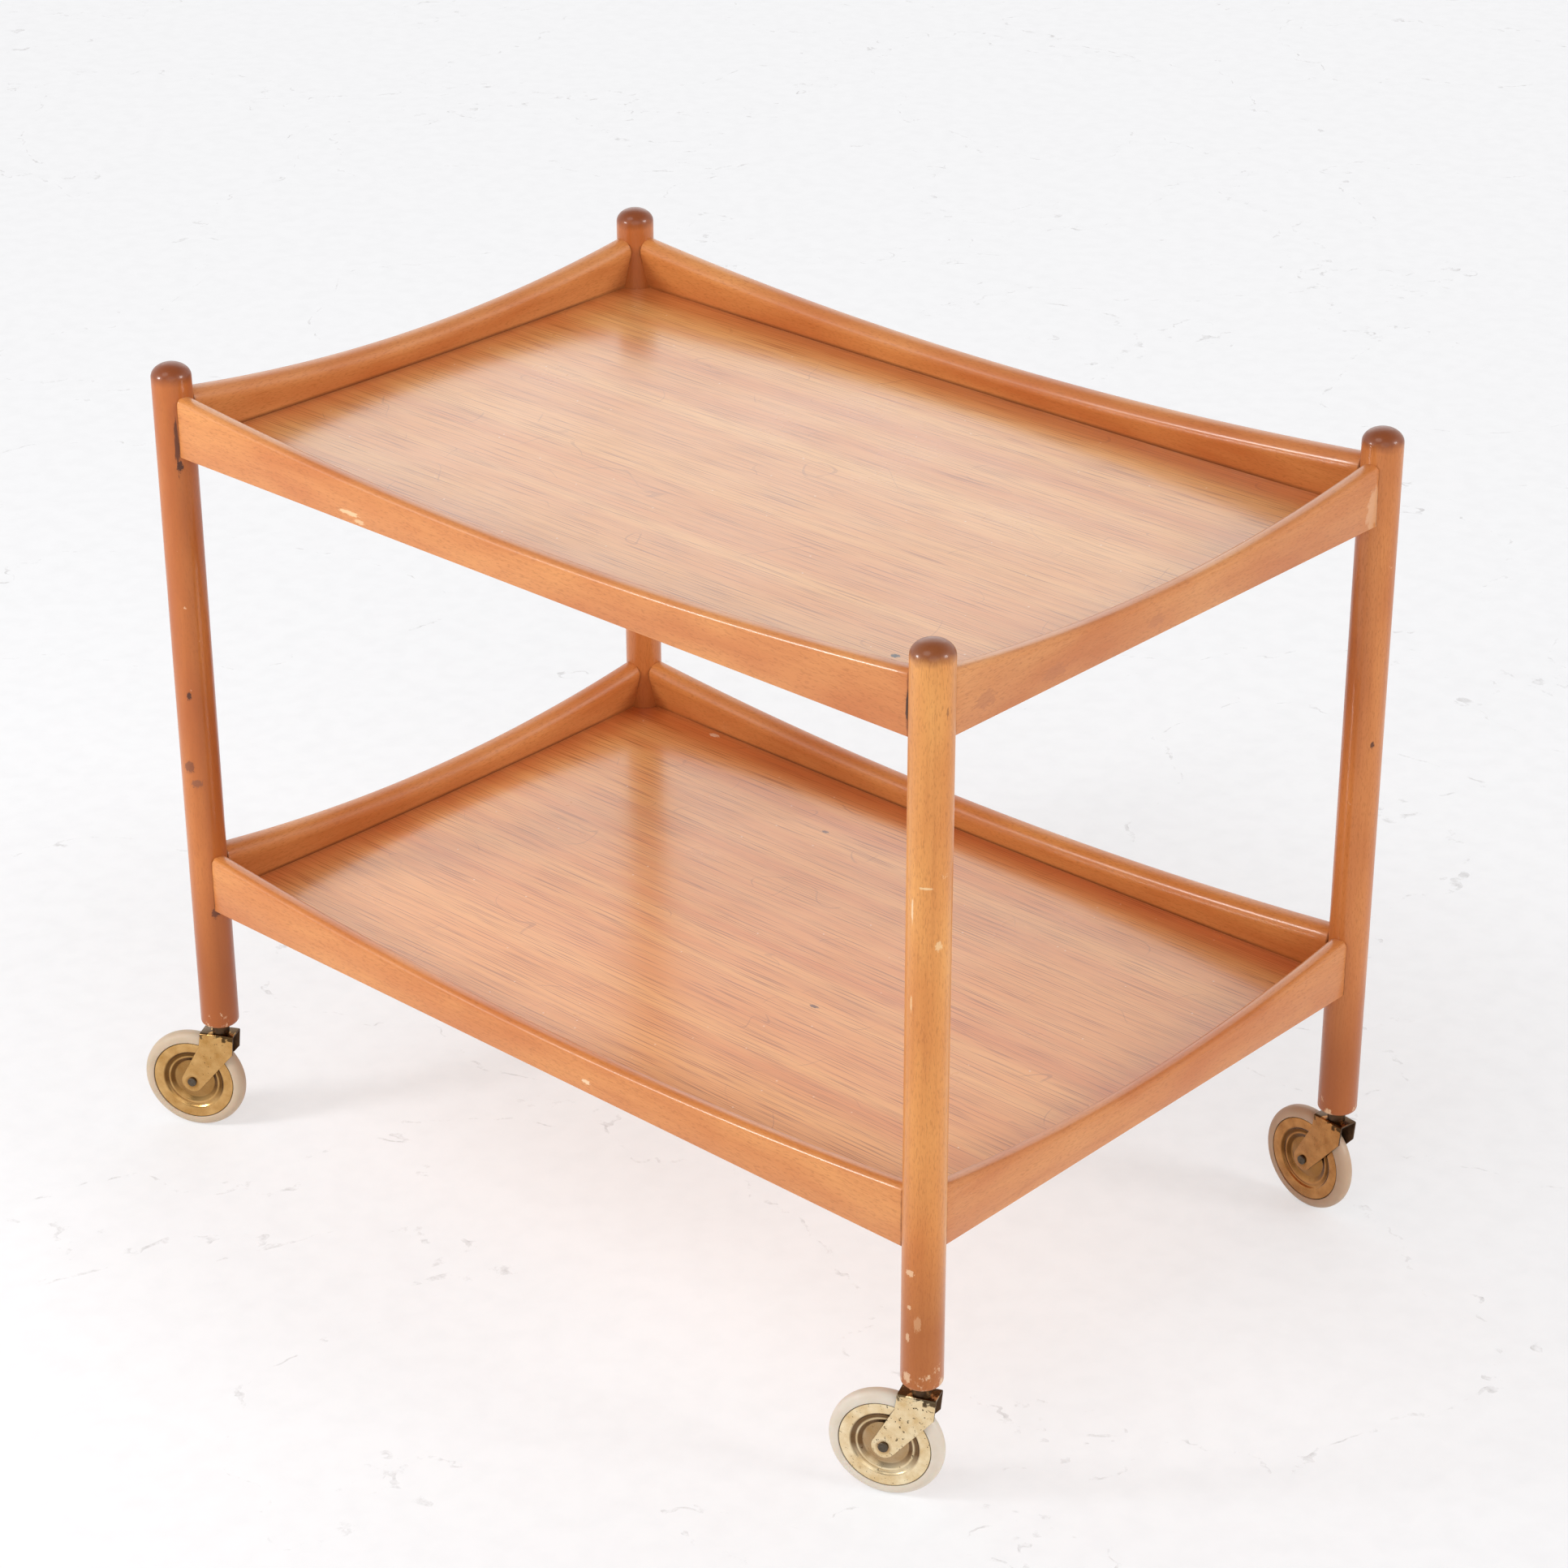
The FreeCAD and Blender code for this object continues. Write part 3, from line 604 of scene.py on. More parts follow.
# Caster stems
# A browned steel pin turned with a thick collar that carries the leg. Its lower end is riveted into
# the fork's plate, and its upper end stands in the socket.
STEM_RADIUS = 0.0040
STEM_LENGTH = 0.0300
COLLAR_RADIUS = 0.0065
COLLAR_TOP = -0.00025
PLATE_Z = -0.0089
FORK_SHEET = 0.0015
CASTER_FACETS = 48
COLLAR_ROUND = 0.0012
COLLAR_FOOT_ROUND = 0.0006
STEM_TIP_ROUND = 0.0010
# Browned steel is nearly black, with rusty patches and little shine
browned = aged_steel("browned_steel", (3, 3, 3), 5.0, "#2B211A", "#6B4E33", 0.8, 0.32, 0.62)

joints = {joint["name"]: joint for joint in frame["joints"]}
caster_places = {}
for corner in CORNERS:
    foot = Vector(joints[corner + "_swivel"]["pos_m"])
    axle = Vector(joints[corner + "_roll"]["pos_m"])
    trail = axle - foot
    caster_places[corner] = (
        Matrix.Translation(foot) @ Matrix.Rotation(math.atan2(trail.y, trail.x), 4, "Z")
    )
    bm = lathe([
        (0, PLATE_Z - FORK_SHEET), (STEM_RADIUS, PLATE_Z - FORK_SHEET), (STEM_RADIUS, PLATE_Z),
        (COLLAR_RADIUS, PLATE_Z), (COLLAR_RADIUS, COLLAR_TOP), (STEM_RADIUS, COLLAR_TOP),
        (STEM_RADIUS, STEM_LENGTH), (0, STEM_LENGTH),
    ], CASTER_FACETS)
    ease(bm, ring(bm, COLLAR_RADIUS, COLLAR_TOP), COLLAR_ROUND, 3)
    ease(bm, ring(bm, COLLAR_RADIUS, PLATE_Z), COLLAR_FOOT_ROUND, 2)
    ease(bm, ring(bm, STEM_RADIUS, STEM_LENGTH), STEM_TIP_ROUND, 3)
    bmesh.ops.transform(bm, matrix=caster_places[corner], verts=bm.verts)
    finish_piece(
        corner + "_swivel_pin", bm, browned, corner + "_caster", corner + "_caster_stem",
    )

# Caster forks
# One pressed steel strip folded into an inverted U, brass plated. The plate is worn to dark bronze
# on top and spotted where it has flaked, most of all along the folds and round the axle.
AXLE_TRAIL = 0.0233
AXLE_Z = -0.0525
FORK_HALF_WIDTH = 0.00815
FORK_BEND = 0.0020
PLATE_LEAD = 0.0122
PLATE_TAIL = 0.0146
LEAD_FOOT = Vector((-0.0109, -FORK_HALF_WIDTH, PLATE_Z - 0.0159))
TAIL_KNEE = Vector((0.0161, -FORK_HALF_WIDTH, PLATE_Z - 0.0122))
CHEEK_END_RADIUS = 0.0085
CHEEK_END_STEPS = 20
FOLD_STEPS = 5
FORK_ARRIS = 0.00035
FORK_CREASE = math.radians(40)
PLATE_WEAR_DROP = 0.014
HALO_EDGE = 0.0062
HALO_CORE = 0.0036
FORK_TONES = {
    "front_left": ("#BA8C50", "#D6AC70", 0.585),
    "front_right": ("#DCBE8C", "#F4E2BC", 0.545),
    "back_right": ("#A06C3C", "#C08A54", 0.60),
    "back_left": ("#AD8450", "#CBA56C", 0.595),
}


def about_axle(tree, here, corner):
    """Coordinates centred on a caster's axle, with X along its trail."""
    axle = Vector(joints[corner + "_roll"]["pos_m"])
    trail = axle - Vector(joints[corner + "_swivel"]["pos_m"])
    return add(tree, "Mapping", {
        "Vector": here, "Location": axle, "Rotation": (0, 0, math.atan2(trail.y, trail.x)),
    }, vector_type="TEXTURE")


def height_and_radius(tree, local):
    """Height above a caster's axle, and distance from the axle's line."""
    spot = add(tree, "SeparateXYZ", {"Vector": local})
    flat = add(tree, "CombineXYZ", {"X": spot.outputs["X"], "Z": spot.outputs["Z"]})
    away = add(tree, "VectorMath", {0: flat}, operation="LENGTH")
    return spot.outputs["Z"], away.outputs["Value"]


def plated_brass(name, corner, dark, light, spotting):
    """Thin brass plate on pressed steel: a warm mirror dulled by handling, with brown tarnish
    clouds and near-black pits where the plate has lifted."""
    material, tree, here = new_material(name)
    local = about_axle(tree, here, corner)
    cloud_at = add(tree, "Mapping", {"Vector": local, "Scale": per_mm(9, 9, 9)})
    clouds = add(tree, "TexNoise", {"Vector": cloud_at, "Scale": 1.0, "Detail": 4.0})
    cloud_share = add(tree, "MapRange", {"Value": clouds, "From Min": 0.3, "From Max": 0.7})
    plate = add(tree, "MixRGB", {
        "Fac": cloud_share, "Color1": linear(dark), "Color2": linear(light),
    })
    pit_at = add(tree, "Mapping", {"Vector": local, "Scale": per_mm(2.6, 2.6, 2.6)})
    pits = add(tree, "TexNoise", {"Vector": pit_at, "Scale": 1.0, "Detail": 6.0, "Roughness": 0.65})
    pit_share = add(tree, "MapRange", {
        "Value": pits, "From Min": spotting + 0.05, "From Max": spotting + 0.1, "To Max": 0.9,
    })
    pitted = add(tree, "MixRGB", {
        "Fac": pit_share, "Color1": plate, "Color2": linear("#3A2816"),
    })
    rough = add(tree, "MapRange", {
        "Value": clouds, "From Min": 0.3, "From Max": 0.7, "To Min": 0.32, "To Max": 0.16,
    })
    dulled = add(tree, "Math", {0: rough, 1: pit_share}, operation="MAXIMUM")
    bump = add(tree, "Bump", {"Height": pits, "Strength": 0.12, "Distance": 0.0002})
    shader = add(tree, "BsdfPrincipled", {
        "Base Color": pitted, "Metallic": 1.0, "Roughness": dulled, "Normal": bump,
    })
    add(tree, "OutputMaterial", {"Surface": shader})
    return material, tree, local, pitted, shader


def fork_mesh():
    """The folded strip in the caster's frame, as a sheet thickened inwards."""
    bm = bmesh.new()
    side = -FORK_HALF_WIDTH
    axle = Vector((AXLE_TRAIL, side, AXLE_Z))
    angles = []
    for corner_point, way in ((LEAD_FOOT, 1), (TAIL_KNEE, -1)):
        away = corner_point - axle
        swing = math.acos(CHEEK_END_RADIUS / away.length)
        angles.append(math.atan2(away.z, away.x) + way * swing)
    lead_angle, tail_angle = angles
    sweep = (tail_angle - lead_angle) % math.tau
    start = axle + CHEEK_END_RADIUS * Vector((math.cos(lead_angle), 0, math.sin(lead_angle)))
    first = bm.verts.new(start)
    bmesh.ops.spin(bm, geom=[first], axis=(0, -1, 0), cent=axle, angle=sweep, steps=CHEEK_END_STEPS)
    bm.verts.ensure_lookup_table()
    rounded = list(bm.verts)
    fold_z = PLATE_Z - FORK_BEND
    knee_point = bm.verts.new(TAIL_KNEE)
    tail_top = bm.verts.new((PLATE_TAIL, side, fold_z))
    lead_top = bm.verts.new((-PLATE_LEAD, side, fold_z))
    foot_point = bm.verts.new(LEAD_FOOT)
    bm.faces.new(rounded + [knee_point, tail_top, lead_top, foot_point])
    top_edge = bm.edges.get((tail_top, lead_top))
    bent = bmesh.ops.spin(
        bm, geom=[tail_top, lead_top, top_edge], axis=(-1, 0, 0),
        cent=(0, side + FORK_BEND, fold_z), angle=math.pi / 2, steps=FOLD_STEPS,
    )["geom_last"]
    last_edge = [item for item in bent if isinstance(item, bmesh.types.BMEdge)]
    across = bmesh.ops.extrude_edge_only(bm, edges=last_edge)["geom"]
    middle = [item for item in across if isinstance(item, bmesh.types.BMVert)]
    bmesh.ops.translate(bm, vec=(0, FORK_HALF_WIDTH - FORK_BEND, 0), verts=middle)
    bmesh.ops.mirror(bm, geom=bm.verts[:] + bm.edges[:] + bm.faces[:], axis="Y", merge_dist=SAME_PLACE)
    bmesh.ops.remove_doubles(bm, verts=bm.verts, dist=SAME_PLACE)
    bmesh.ops.recalc_face_normals(bm, faces=bm.faces)
    top = max(bm.faces, key=lambda face: face.calc_center_median().z)
    if top.normal.z < 0:
        bmesh.ops.reverse_faces(bm, faces=bm.faces)
    return bm


for corner in CORNERS:
    dark, light, spotting = FORK_TONES[corner]
    fork_brass, tree, local, colour, shader = plated_brass(
        f"{corner}_fork_brass", corner, dark, light, spotting,
    )
    height, radius = height_and_radius(tree, local)
    # The top of the plate is worn through to dark bronze, in patches that spread over the folds
    wear_at = add(tree, "Mapping", {"Vector": local, "Scale": per_mm(5, 5, 5)})
    wear_noise = add(tree, "TexNoise", {"Vector": wear_at, "Scale": 1.0, "Detail": 5.0})
    plate_height = PLATE_Z - AXLE_Z
    wear_reach = add(tree, "MapRange", {
        "Value": height, "From Min": plate_height - PLATE_WEAR_DROP, "From Max": plate_height,
        "To Max": 0.36,
    })
    wear_level = add(tree, "Math", {0: wear_noise, 1: wear_reach}, operation="ADD")
    worn = add(tree, "MapRange", {
        "Value": wear_level, "From Min": 0.76, "From Max": 0.83, "To Max": 0.92,
    })
    worn_plate = add(tree, "MixRGB", {"Fac": worn, "Color1": colour, "Color2": linear("#42301E")})
    # A rust halo spreads from the axle rivet
    halo = add(tree, "MapRange", {
        "Value": radius, "From Min": HALO_EDGE, "From Max": HALO_CORE, "To Max": 0.7,
    })
    haloed = add(tree, "MixRGB", {"Fac": halo, "Color1": worn_plate, "Color2": linear("#8A5A22")})
    tree.links.new(haloed.outputs[0], shader.inputs["Base Color"])
    bm = fork_mesh()
    bmesh.ops.transform(bm, matrix=caster_places[corner], verts=bm.verts)
    fork = finish_piece(
        corner + "_pressed_fork", bm, fork_brass, corner + "_caster",
        corner + "_caster_fork",
    )
    # The inside of the fold and the sheared edges take the stem's dark browned steel, as painted shade
    fork.data.materials.append(browned)
    wall = fork.modifiers.new("sheet", "SOLIDIFY")
    wall.thickness = FORK_SHEET
    wall.offset = -1
    # The inner faces and the rim take the second material, the painted shade
    wall.material_offset = 1
    wall.material_offset_rim = 1
    arris = fork.modifiers.new("sheared_edge", "BEVEL")
    arris.width = FORK_ARRIS
    arris.segments = 2
    arris.limit_method = "ANGLE"
    arris.angle_limit = FORK_CREASE

# Axle rivets
# Plain steel rivets through both cheeks of each fork. The heads were closed over the cheeks with a
# round punch, which left a shallow dimple.
AXLE_RADIUS = 0.0027
HEAD_RADIUS = 0.0035
HEAD_HEIGHT = 0.0014
HEAD_DIMPLE = 0.0004
HEAD_ROUND = 0.0005
DIMPLE_FLOOR = 0.5 * HEAD_RADIUS
DIMPLE_RIM = 0.72 * HEAD_RADIUS
# Dull steel is grey and half matt, with brown specks of rust
rivet_steel = aged_steel(
    "dull_rivet_steel", (1.6, 1.6, 1.6), 5.0, "#6C665C", "#4A3828", 0.9, 0.35, 0.7,
)
axle_lay = Matrix.Translation((AXLE_TRAIL, 0, AXLE_Z)) @ Matrix.Rotation(-math.pi / 2, 4, "X")
for corner in CORNERS:
    end = FORK_HALF_WIDTH + HEAD_HEIGHT
    half_outline = [
        (0, end - HEAD_DIMPLE), (DIMPLE_FLOOR, end - HEAD_DIMPLE), (DIMPLE_RIM, end),
        (HEAD_RADIUS, end), (HEAD_RADIUS, FORK_HALF_WIDTH), (AXLE_RADIUS, FORK_HALF_WIDTH),
    ]
    other_half = [(radius, -z) for radius, z in reversed(half_outline)]
    bm = lathe(half_outline + other_half, CASTER_FACETS)
    for z in (-end, end):
        ease(bm, ring(bm, HEAD_RADIUS, z), HEAD_ROUND, 3)
    bmesh.ops.transform(bm, matrix=caster_places[corner] @ axle_lay, verts=bm.verts)
    finish_piece(
        corner + "_dimpled_rivet", bm, rivet_steel, corner + "_caster",
        corner + "_axle_rivet",
    )

# Hub bushes
# Lengths of plain steel tube that the discs are pressed onto, turning on the rivets between the
# cheeks. Only their ends are seen.
for corner in CORNERS:
    frame["nodes"][corner + "_hub_bush"].material_slots[0].material = rivet_steel

# Wheel discs
# Each wheel is two discs of thin brass-plated steel pressed to a flat rim, a rolled groove, a
# rounded crest and a dished middle, set back to back on the bush.
DISC_RADIUS = 0.0322
DISC_FACE = 0.0054
BUSH_RADIUS = 0.0042
DISC_PRESSING = [
    (0.0242, 0.0), (0.0224, 0.0018), (0.0196, 0.0007), (0.0156, 0.0030), (0.0070, 0.0004),
]
PRESSING_ROUND = 0.0009
DISC_RIM_ROUND = 0.0005
LESS_SPOTTED = 0.03
# Width of the painted shade line along the seam with the tyre, and where it is full
SEAM_SHADE = 0.0009
SEAM_SHADE_FULL = 0.0004
DISH_EDGE = 0.0196
DISH_TARNISHED = 0.0150
# Heights below the axle where the groove walls stay bright, and above which they take their full tarnish
# and painted shade
BRIGHT_ARCS_BELOW = 0.018
SHADED_ARCS_ABOVE = 0.004
# The two walls of the rolled groove: radius and half width of their tarnish and painted shade
GROOVE_WALLS = ((0.0222, 0.0026), (0.0176, 0.0022))
DISC_FACETS = 96
for corner in CORNERS:
    dark, light, spotting = FORK_TONES[corner]
    disc_brass, tree, local, colour, shader = plated_brass(
        f"{corner}_disc_brass", corner, dark, light, spotting + LESS_SPOTTED,
    )
    height, radius = height_and_radius(tree, local)
    # Painted shade draws a thin dark line in the gap along the seam with the tyre
    seam_shade = add(tree, "MapRange", {
        "Value": radius, "From Min": DISC_RADIUS - SEAM_SHADE, "From Max": DISC_RADIUS - SEAM_SHADE_FULL,
        "To Max": 0.9,
    })
    seam_shaded = add(tree, "MixRGB", {"Fac": seam_shade, "Color1": colour, "Color2": linear("#2E2114")})
    # The dish and the walls of the groove are browned by tarnish. On the walls it fades out towards the
    # lower arcs, so their upper arcs also carry painted shade and painted reflection of the dim room
    upper_arc_shade = add(tree, "MapRange", {
        "Value": height, "From Min": -BRIGHT_ARCS_BELOW, "From Max": -SHADED_ARCS_ABOVE,
        "To Min": 0.2, "To Max": 1.0,
    })
    dish = add(tree, "MapRange", {
        "Value": radius, "From Min": DISH_EDGE, "From Max": DISH_TARNISHED, "To Max": 0.7,
    })
    tarnish_and_shade = add(tree, "MixRGB", {"Fac": dish, "Color1": seam_shaded, "Color2": linear("#8A6234")})
    for middle, reach in GROOVE_WALLS:
        offset = add(tree, "Math", {0: radius, 1: middle}, operation="SUBTRACT")
        off_wall = add(tree, "Math", {0: offset}, operation="ABSOLUTE")
        wall_share = add(tree, "MapRange", {
            "Value": off_wall, "From Min": reach, "From Max": 0.5 * reach, "To Max": 0.9,
        })
        wall_tarnish_and_shade = add(tree, "Math", {0: wall_share, 1: upper_arc_shade}, operation="MULTIPLY")
        tarnish_and_shade = add(tree, "MixRGB", {
            "Fac": wall_tarnish_and_shade, "Color1": tarnish_and_shade, "Color2": linear("#5A3818"),
        })
    tree.links.new(tarnish_and_shade.outputs[0], shader.inputs["Base Color"])
    for way, hand in ((-1, "left"), (1, "right")):
        outline = [(BUSH_RADIUS, 0), (DISC_RADIUS, 0), (DISC_RADIUS, DISC_FACE)]
        outline += [(step, DISC_FACE - depth) for step, depth in DISC_PRESSING]
        outline += [(BUSH_RADIUS, DISC_FACE - DISC_PRESSING[-1][1]), (BUSH_RADIUS, 0)]
        bm = lathe(outline, DISC_FACETS)
        for step, depth in DISC_PRESSING:
            ease(bm, ring(bm, step, DISC_FACE - depth), PRESSING_ROUND, 4)
        ease(bm, ring(bm, DISC_RADIUS, DISC_FACE), DISC_RIM_ROUND, 2)
        flip = Matrix.Rotation(math.pi if way < 0 else 0, 4, "X")
        bmesh.ops.transform(bm, matrix=caster_places[corner] @ axle_lay @ flip, verts=bm.verts)
        finish_piece(
            f"{corner}_pressed_disc_{hand}", bm, disc_brass, corner + "_wheel",
            f"{corner}_wheel_disc_{hand}",
        )

# Tyres
# Solid tyres of pale rubber, moulded round in section and stretched over the rims of the discs.
# Age has made them slightly translucent, yellowed by the rim and flecked with floor dirt.
TYRE_RADIUS = 0.0400
TYRE_HALF_WIDTH = 0.0060
TYRE_SHOULDER = 0.0366
TREAD_HALF_WIDTH = 0.0026
SHOULDER_ROUND = 0.0020
TREAD_ROUND = 0.0018
TYRE_LIP_ROUND = 0.0006
TYRE_TONES = {
    "front_left": ("#C7B49E", "#B7A084"),
    "front_right": ("#DCD3C6", "#CABBA6"),
    "back_right": ("#C1A68D", "#B29275"),
    "back_left": ("#C7B49E", "#B7A084"),
}
for corner, (pale, yellowed) in TYRE_TONES.items():
    # Old pale rubber is cloudy and half matt, lets a little light in, and holds grey-brown grit
    rubber, tree, here = new_material(f"{corner}_pale_rubber")
    local = about_axle(tree, here, corner)
    tint_at = add(tree, "Mapping", {"Vector": local, "Scale": per_mm(14, 14, 14)})
    tint = add(tree, "TexNoise", {"Vector": tint_at, "Scale": 1.0, "Detail": 4.0})
    tinted = add(tree, "MixRGB", {
        "Fac": tint, "Color1": linear(pale), "Color2": linear(yellowed),
    })
    fleck_at = add(tree, "Mapping", {"Vector": local, "Scale": per_mm(2.4, 2.4, 2.4)})
    flecks = add(tree, "TexNoise", {"Vector": fleck_at, "Scale": 1.0, "Detail": 6.0, "Roughness": 0.7})
    fleck_share = add(tree, "MapRange", {
        "Value": flecks, "From Min": 0.68, "From Max": 0.75, "To Max": 0.6,
    })
    flecked = add(tree, "MixRGB", {"Fac": fleck_share, "Color1": tinted, "Color2": linear("#8A7460")})
    rubber_rough = add(tree, "MapRange", {"Value": tint, "To Min": 0.38, "To Max": 0.55})
    bump = add(tree, "Bump", {"Height": flecks, "Strength": 0.1, "Distance": 0.0003})
    shader = add(tree, "BsdfPrincipled", {
        "Base Color": flecked, "Roughness": rubber_rough, "IOR": 1.5, "Normal": bump,
        "Subsurface Weight": 0.15, "Subsurface Scale": 0.003,
    })
    add(tree, "OutputMaterial", {"Surface": shader})
    half_section = [
        (DISC_RADIUS, TYRE_HALF_WIDTH), (TYRE_SHOULDER, TYRE_HALF_WIDTH),
        (TYRE_RADIUS, TREAD_HALF_WIDTH),
    ]
    other_half = [(radius, -z) for radius, z in reversed(half_section)]
    bm = lathe(half_section + other_half + half_section[:1], DISC_FACETS)
    for way in (-1, 1):
        ease(bm, ring(bm, TYRE_SHOULDER, way * TYRE_HALF_WIDTH), SHOULDER_ROUND, 5)
        ease(bm, ring(bm, TYRE_RADIUS, way * TREAD_HALF_WIDTH), TREAD_ROUND, 5)
        ease(bm, ring(bm, DISC_RADIUS, way * TYRE_HALF_WIDTH), TYRE_LIP_ROUND, 3)
    bmesh.ops.transform(bm, matrix=caster_places[corner] @ axle_lay, verts=bm.verts)
    finish_piece(
        corner + "_rubber_tyre", bm, rubber, corner + "_wheel", corner + "_tyre",
    )

# Floor
# A studio floor rolled with matt white paint, which has faint scuffs and hairline cracks.
# It is bright enough to keep shadows soft, and reaches far past the picture.
FLOOR_REACH = 14
FLOOR_GLOW = 0.55
# Matt white paint is flat and even, a little mottled by the roller
floor_paint, tree, here = new_material("white_floor_paint")
mottle_at = add(tree, "Mapping", {"Vector": here, "Scale": per_mm(22, 22, 22)})
mottle = add(tree, "TexNoise", {"Vector": mottle_at, "Scale": 1.0, "Detail": 6.0})
mottle_share = add(tree, "MapRange", {"Value": mottle, "From Min": 0.4, "From Max": 0.7})
mottled = add(tree, "MixRGB", {
    "Fac": mottle_share, "Color1": linear("#FFFEFE"), "Color2": linear("#FCFBFB"),
})
# Hairline cracks follow the contour lines of a slow noise, broken into short lengths
crack_at = add(tree, "Mapping", {"Vector": here, "Scale": per_mm(420, 420, 420)})
cracks = add(tree, "TexNoise", {"Vector": crack_at, "Scale": 1.0, "Detail": 6.0, "Distortion": 0.4})
crack_line = add(tree, "Math", {0: cracks, 1: 0.5, 2: 0.0022}, operation="COMPARE")
break_at = add(tree, "Mapping", {"Vector": here, "Scale": per_mm(28, 28, 28)})
breaks = add(tree, "TexNoise", {"Vector": break_at, "Scale": 1.0, "Detail": 5.0, "Roughness": 0.7})
crack_kept = add(tree, "MapRange", {"Value": breaks, "From Min": 0.52, "From Max": 0.68, "To Max": 0.36})
crack_share = add(tree, "Math", {0: crack_line, 1: crack_kept}, operation="MULTIPLY")
cracked = add(tree, "MixRGB", {"Fac": crack_share, "Color1": mottled, "Color2": linear("#8F8680")})
# Specks of grey grit
grit_at = add(tree, "Mapping", {"Vector": here, "Scale": per_mm(9, 9, 9)})
grit = add(tree, "TexNoise", {"Vector": grit_at, "Scale": 1.0, "Detail": 6.0, "Roughness": 0.75})
grit_share = add(tree, "MapRange", {"Value": grit, "From Min": 0.71, "From Max": 0.82, "To Max": 0.3})
floor_colour = add(tree, "MixRGB", {
    "Fac": grit_share, "Color1": cracked, "Color2": linear("#A89F99"),
})
# The paint is a cool white, which holds back the warm light that the trolley throws on it
cooled = add(tree, "MixRGB", {
    "Fac": 1.0, "Color1": floor_colour, "Color2": linear("#FAFCFF"),
}, blend_type="MULTIPLY")
# The eye and the polished pieces see it more than half plain white, and the rest takes shadow
diffuse = add(tree, "BsdfDiffuse", {"Color": cooled})
glow = add(tree, "Emission", {"Color": floor_colour, "Strength": 1.0})
path = add(tree, "LightPath", {})
seen = add(tree, "Math", {
    0: path.outputs["Is Camera Ray"], 1: path.outputs["Is Glossy Ray"],
}, operation="ADD")
seen_all = add(tree, "Math", {0: seen, 1: path.outputs["Is Transmission Ray"]}, operation="ADD")
glow_share = add(tree, "Math", {0: seen_all, 1: FLOOR_GLOW}, operation="MULTIPLY")
mixed = add(tree, "MixShader", {0: glow_share, 1: diffuse, 2: glow})
add(tree, "OutputMaterial", {"Surface": mixed})
bm = bmesh.new()
bmesh.ops.create_grid(bm, x_segments=8, y_segments=8, size=FLOOR_REACH)
mesh = bpy.data.meshes.new("studio_floor")
bm.to_mesh(mesh)
bm.free()
mesh.materials.append(floor_paint)
floor = bpy.data.objects.new("studio_floor", mesh)
bpy.context.scene.collection.objects.link(floor)

# Studio light
# White walls all round and a soft main lamp close by on the left. Weaker distant lamps stand on the
# right, in front and above, and a wide pale one behind is mirrored in the trays.
WALL_LEVEL = 0.72
ROOM_SIDE = (0.62, -0.78, 0)
LEFT_LAMP_AT = Vector((-1.0, -1.7, 1.05))
LEFT_LAMP_AIM = Vector((0, 0, 0.30))
LEFT_LAMP_WIDTH = 0.45
LEFT_LAMP_WATTS = 16
# Azimuth from the front, elevation and spread in degrees, then level
DISTANT_LAMPS = (
    ("right_lamp", 112, 24, 18, 1.0),
    ("front_lamp", 47, 22, 50, 0.55),
    ("top_lamp", -8, 58, 30, 0.5),
    ("back_softbox", 222, 26, 46, 0.3),
)


def towards(azimuth, elevation):
    """The direction at these angles from the front and from the floor."""
    a, e = math.radians(azimuth), math.radians(elevation)
    return Vector((math.sin(a) * math.cos(e), -math.cos(a) * math.cos(e), math.sin(e)))


world = bpy.data.worlds.new("white_studio")
bpy.context.scene.world = world
world.use_nodes = True
tree = world.node_tree
tree.nodes.clear()
direction = add(tree, "TexCoord", {}).outputs["Generated"]
rise = add(tree, "SeparateXYZ", {"Vector": direction}).outputs["Z"]
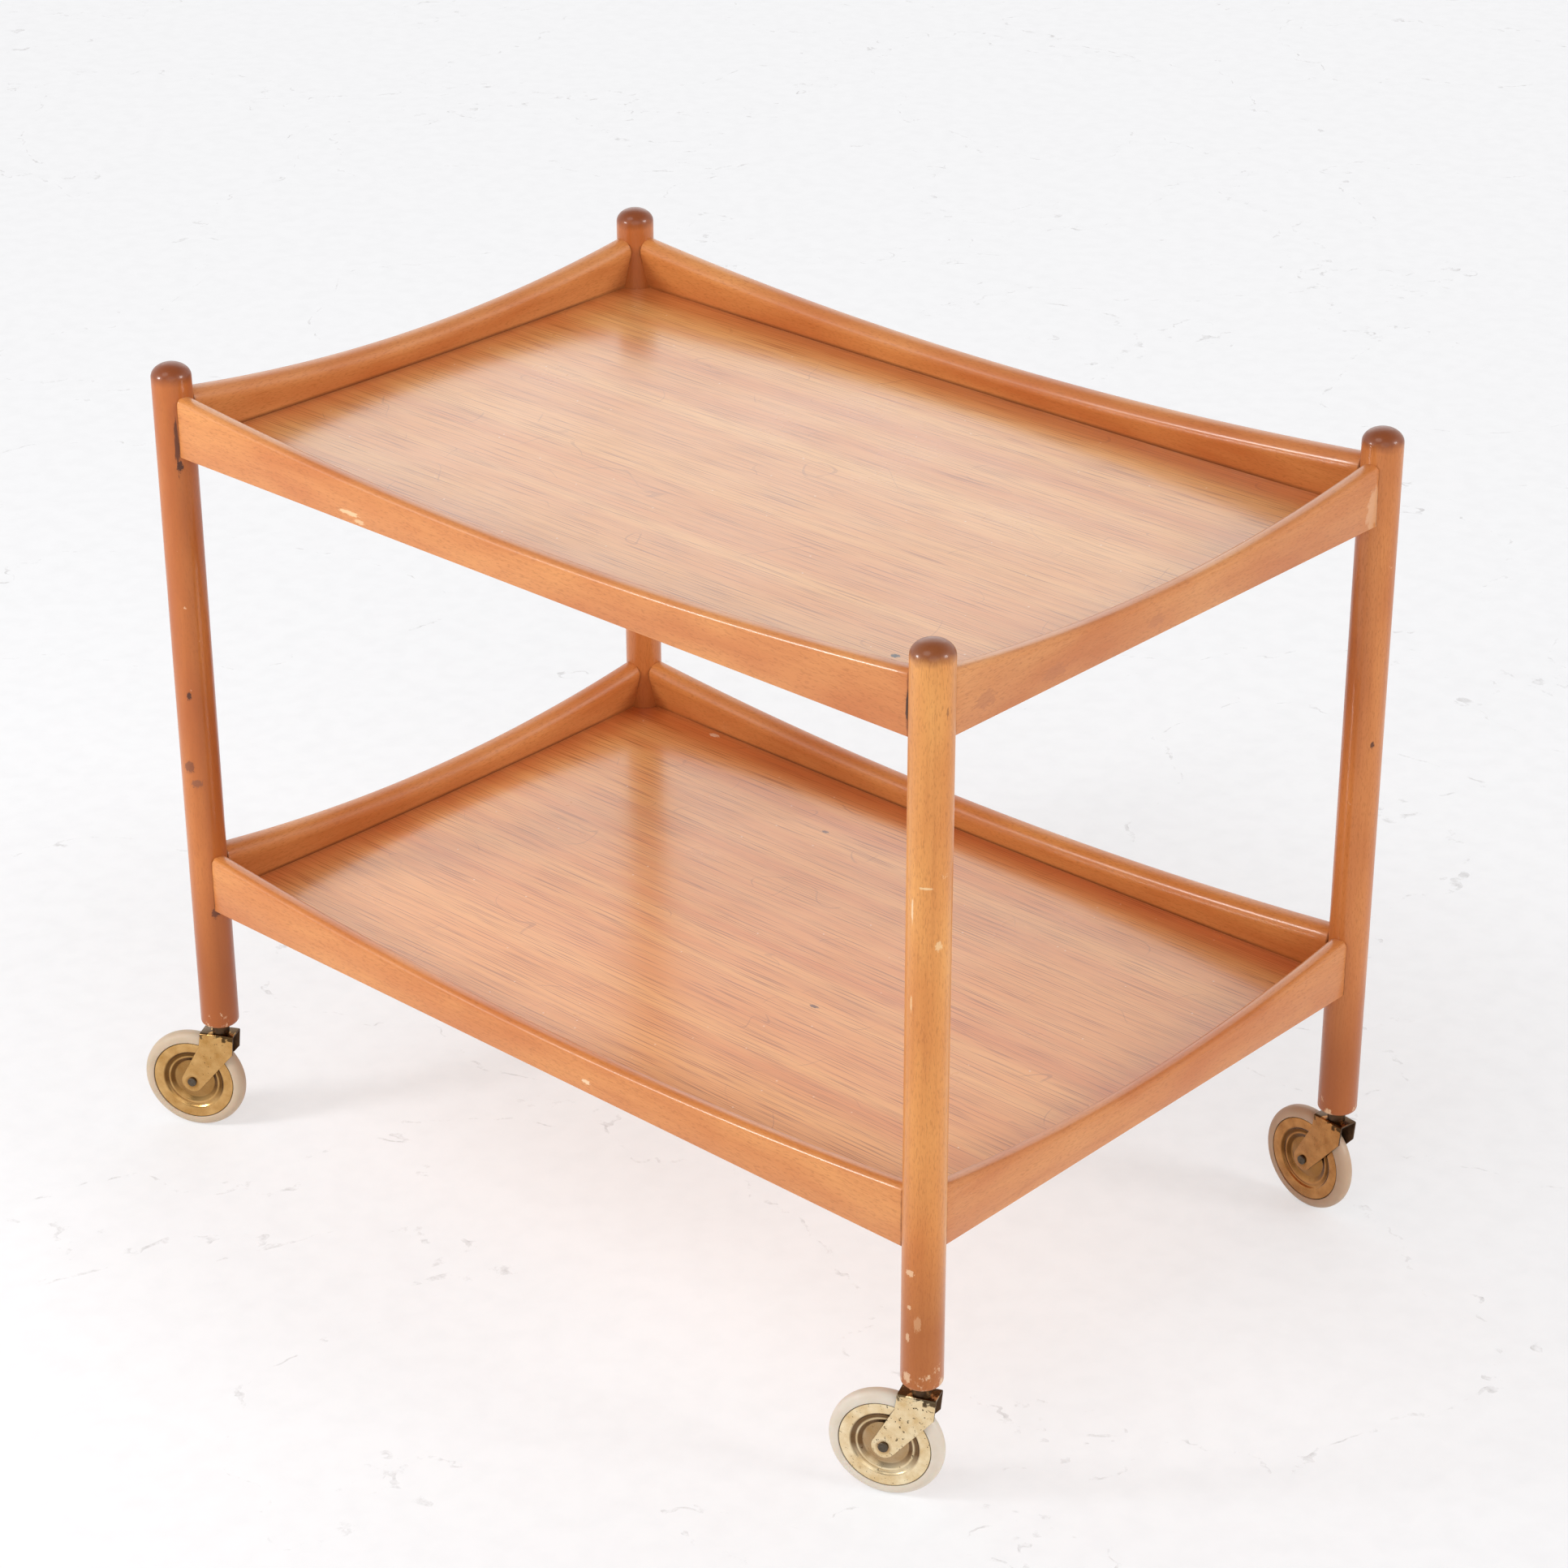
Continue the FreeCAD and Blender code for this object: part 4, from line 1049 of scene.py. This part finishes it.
# The walls are white, but the ceiling and the room before the trolley are dim, which is what gives
# polished pieces their contrast
ceiling = add(tree, "MapRange", {
    "Value": rise, "From Min": 0.5, "From Max": 0.9, "To Min": 1.0, "To Max": 0.35,
})
forward = add(tree, "VectorMath", {0: direction, 1: ROOM_SIDE}, operation="DOT_PRODUCT")
room = add(tree, "MapRange", {
    "Value": forward.outputs["Value"], "From Min": 0.45, "From Max": 0.9, "To Min": 1.0, "To Max": 0.4,
})
mirrored = add(tree, "Math", {0: ceiling, 1: room}, operation="MULTIPLY")
soft = add(tree, "Math", {0: ceiling, 1: WALL_LEVEL}, operation="MULTIPLY")
path = add(tree, "LightPath", {})
mirror_ray = add(tree, "Math", {
    0: path.outputs["Is Glossy Ray"], 1: path.outputs["Is Transmission Ray"],
}, operation="ADD", use_clamp=True)
unseen = add(tree, "MixRGB", {"Fac": mirror_ray, "Color1": soft, "Color2": mirrored})
backdrop = add(tree, "MixRGB", {
    "Fac": path.outputs["Is Camera Ray"], "Color1": unseen, "Color2": linear("#F6F5F5"),
})
surround = add(tree, "Background", {"Color": backdrop, "Strength": 1.0})
add(tree, "OutputWorld", {"Surface": surround})

light = bpy.data.lights.new("left_lamp", "AREA")
light.shape = "DISK"
light.size = LEFT_LAMP_WIDTH
light.energy = LEFT_LAMP_WATTS
lamp = bpy.data.objects.new("left_lamp", light)
lamp.location = LEFT_LAMP_AT
lamp.rotation_euler = (LEFT_LAMP_AT - LEFT_LAMP_AIM).to_track_quat("Z", "Y").to_euler()
bpy.context.scene.collection.objects.link(lamp)
for name, azimuth, elevation, spread, level in DISTANT_LAMPS:
    light = bpy.data.lights.new(name, "SUN")
    light.angle = math.radians(spread)
    light.energy = level
    lamp = bpy.data.objects.new(name, light)
    lamp.rotation_euler = towards(azimuth, elevation).to_track_quat("Z", "Y").to_euler()
    bpy.context.scene.collection.objects.link(lamp)

# Camera
# A long lens above the trolley and to the right of its front, where the photograph was taken from.
# Place and angles were worked out from the legs and the rails' straight undersides.
CAMERA_AT = (1.7164, -1.8506, 1.5741)
AZIMUTH, ELEVATION, ROLL = 42.55, 26.358, -0.186
SENSOR_WIDTH = 36
FOCAL_LENGTH = 90.306
view = bpy.data.cameras.new("view")
view.sensor_width = SENSOR_WIDTH
view.lens = FOCAL_LENGTH
camera = bpy.data.objects.new("view", view)
back = towards(AZIMUTH, ELEVATION)
right = Vector((math.cos(math.radians(AZIMUTH)), math.sin(math.radians(AZIMUTH)), 0))
axes = Matrix((right, back.cross(right), back)).transposed()
tilt = axes @ Matrix.Rotation(math.radians(ROLL), 3, "Z")
camera.matrix_world = Matrix.Translation(CAMERA_AT) @ tilt.to_4x4()
bpy.context.scene.collection.objects.link(camera)
bpy.context.scene.camera = camera
bpy.context.scene.view_settings.view_transform = "Standard"
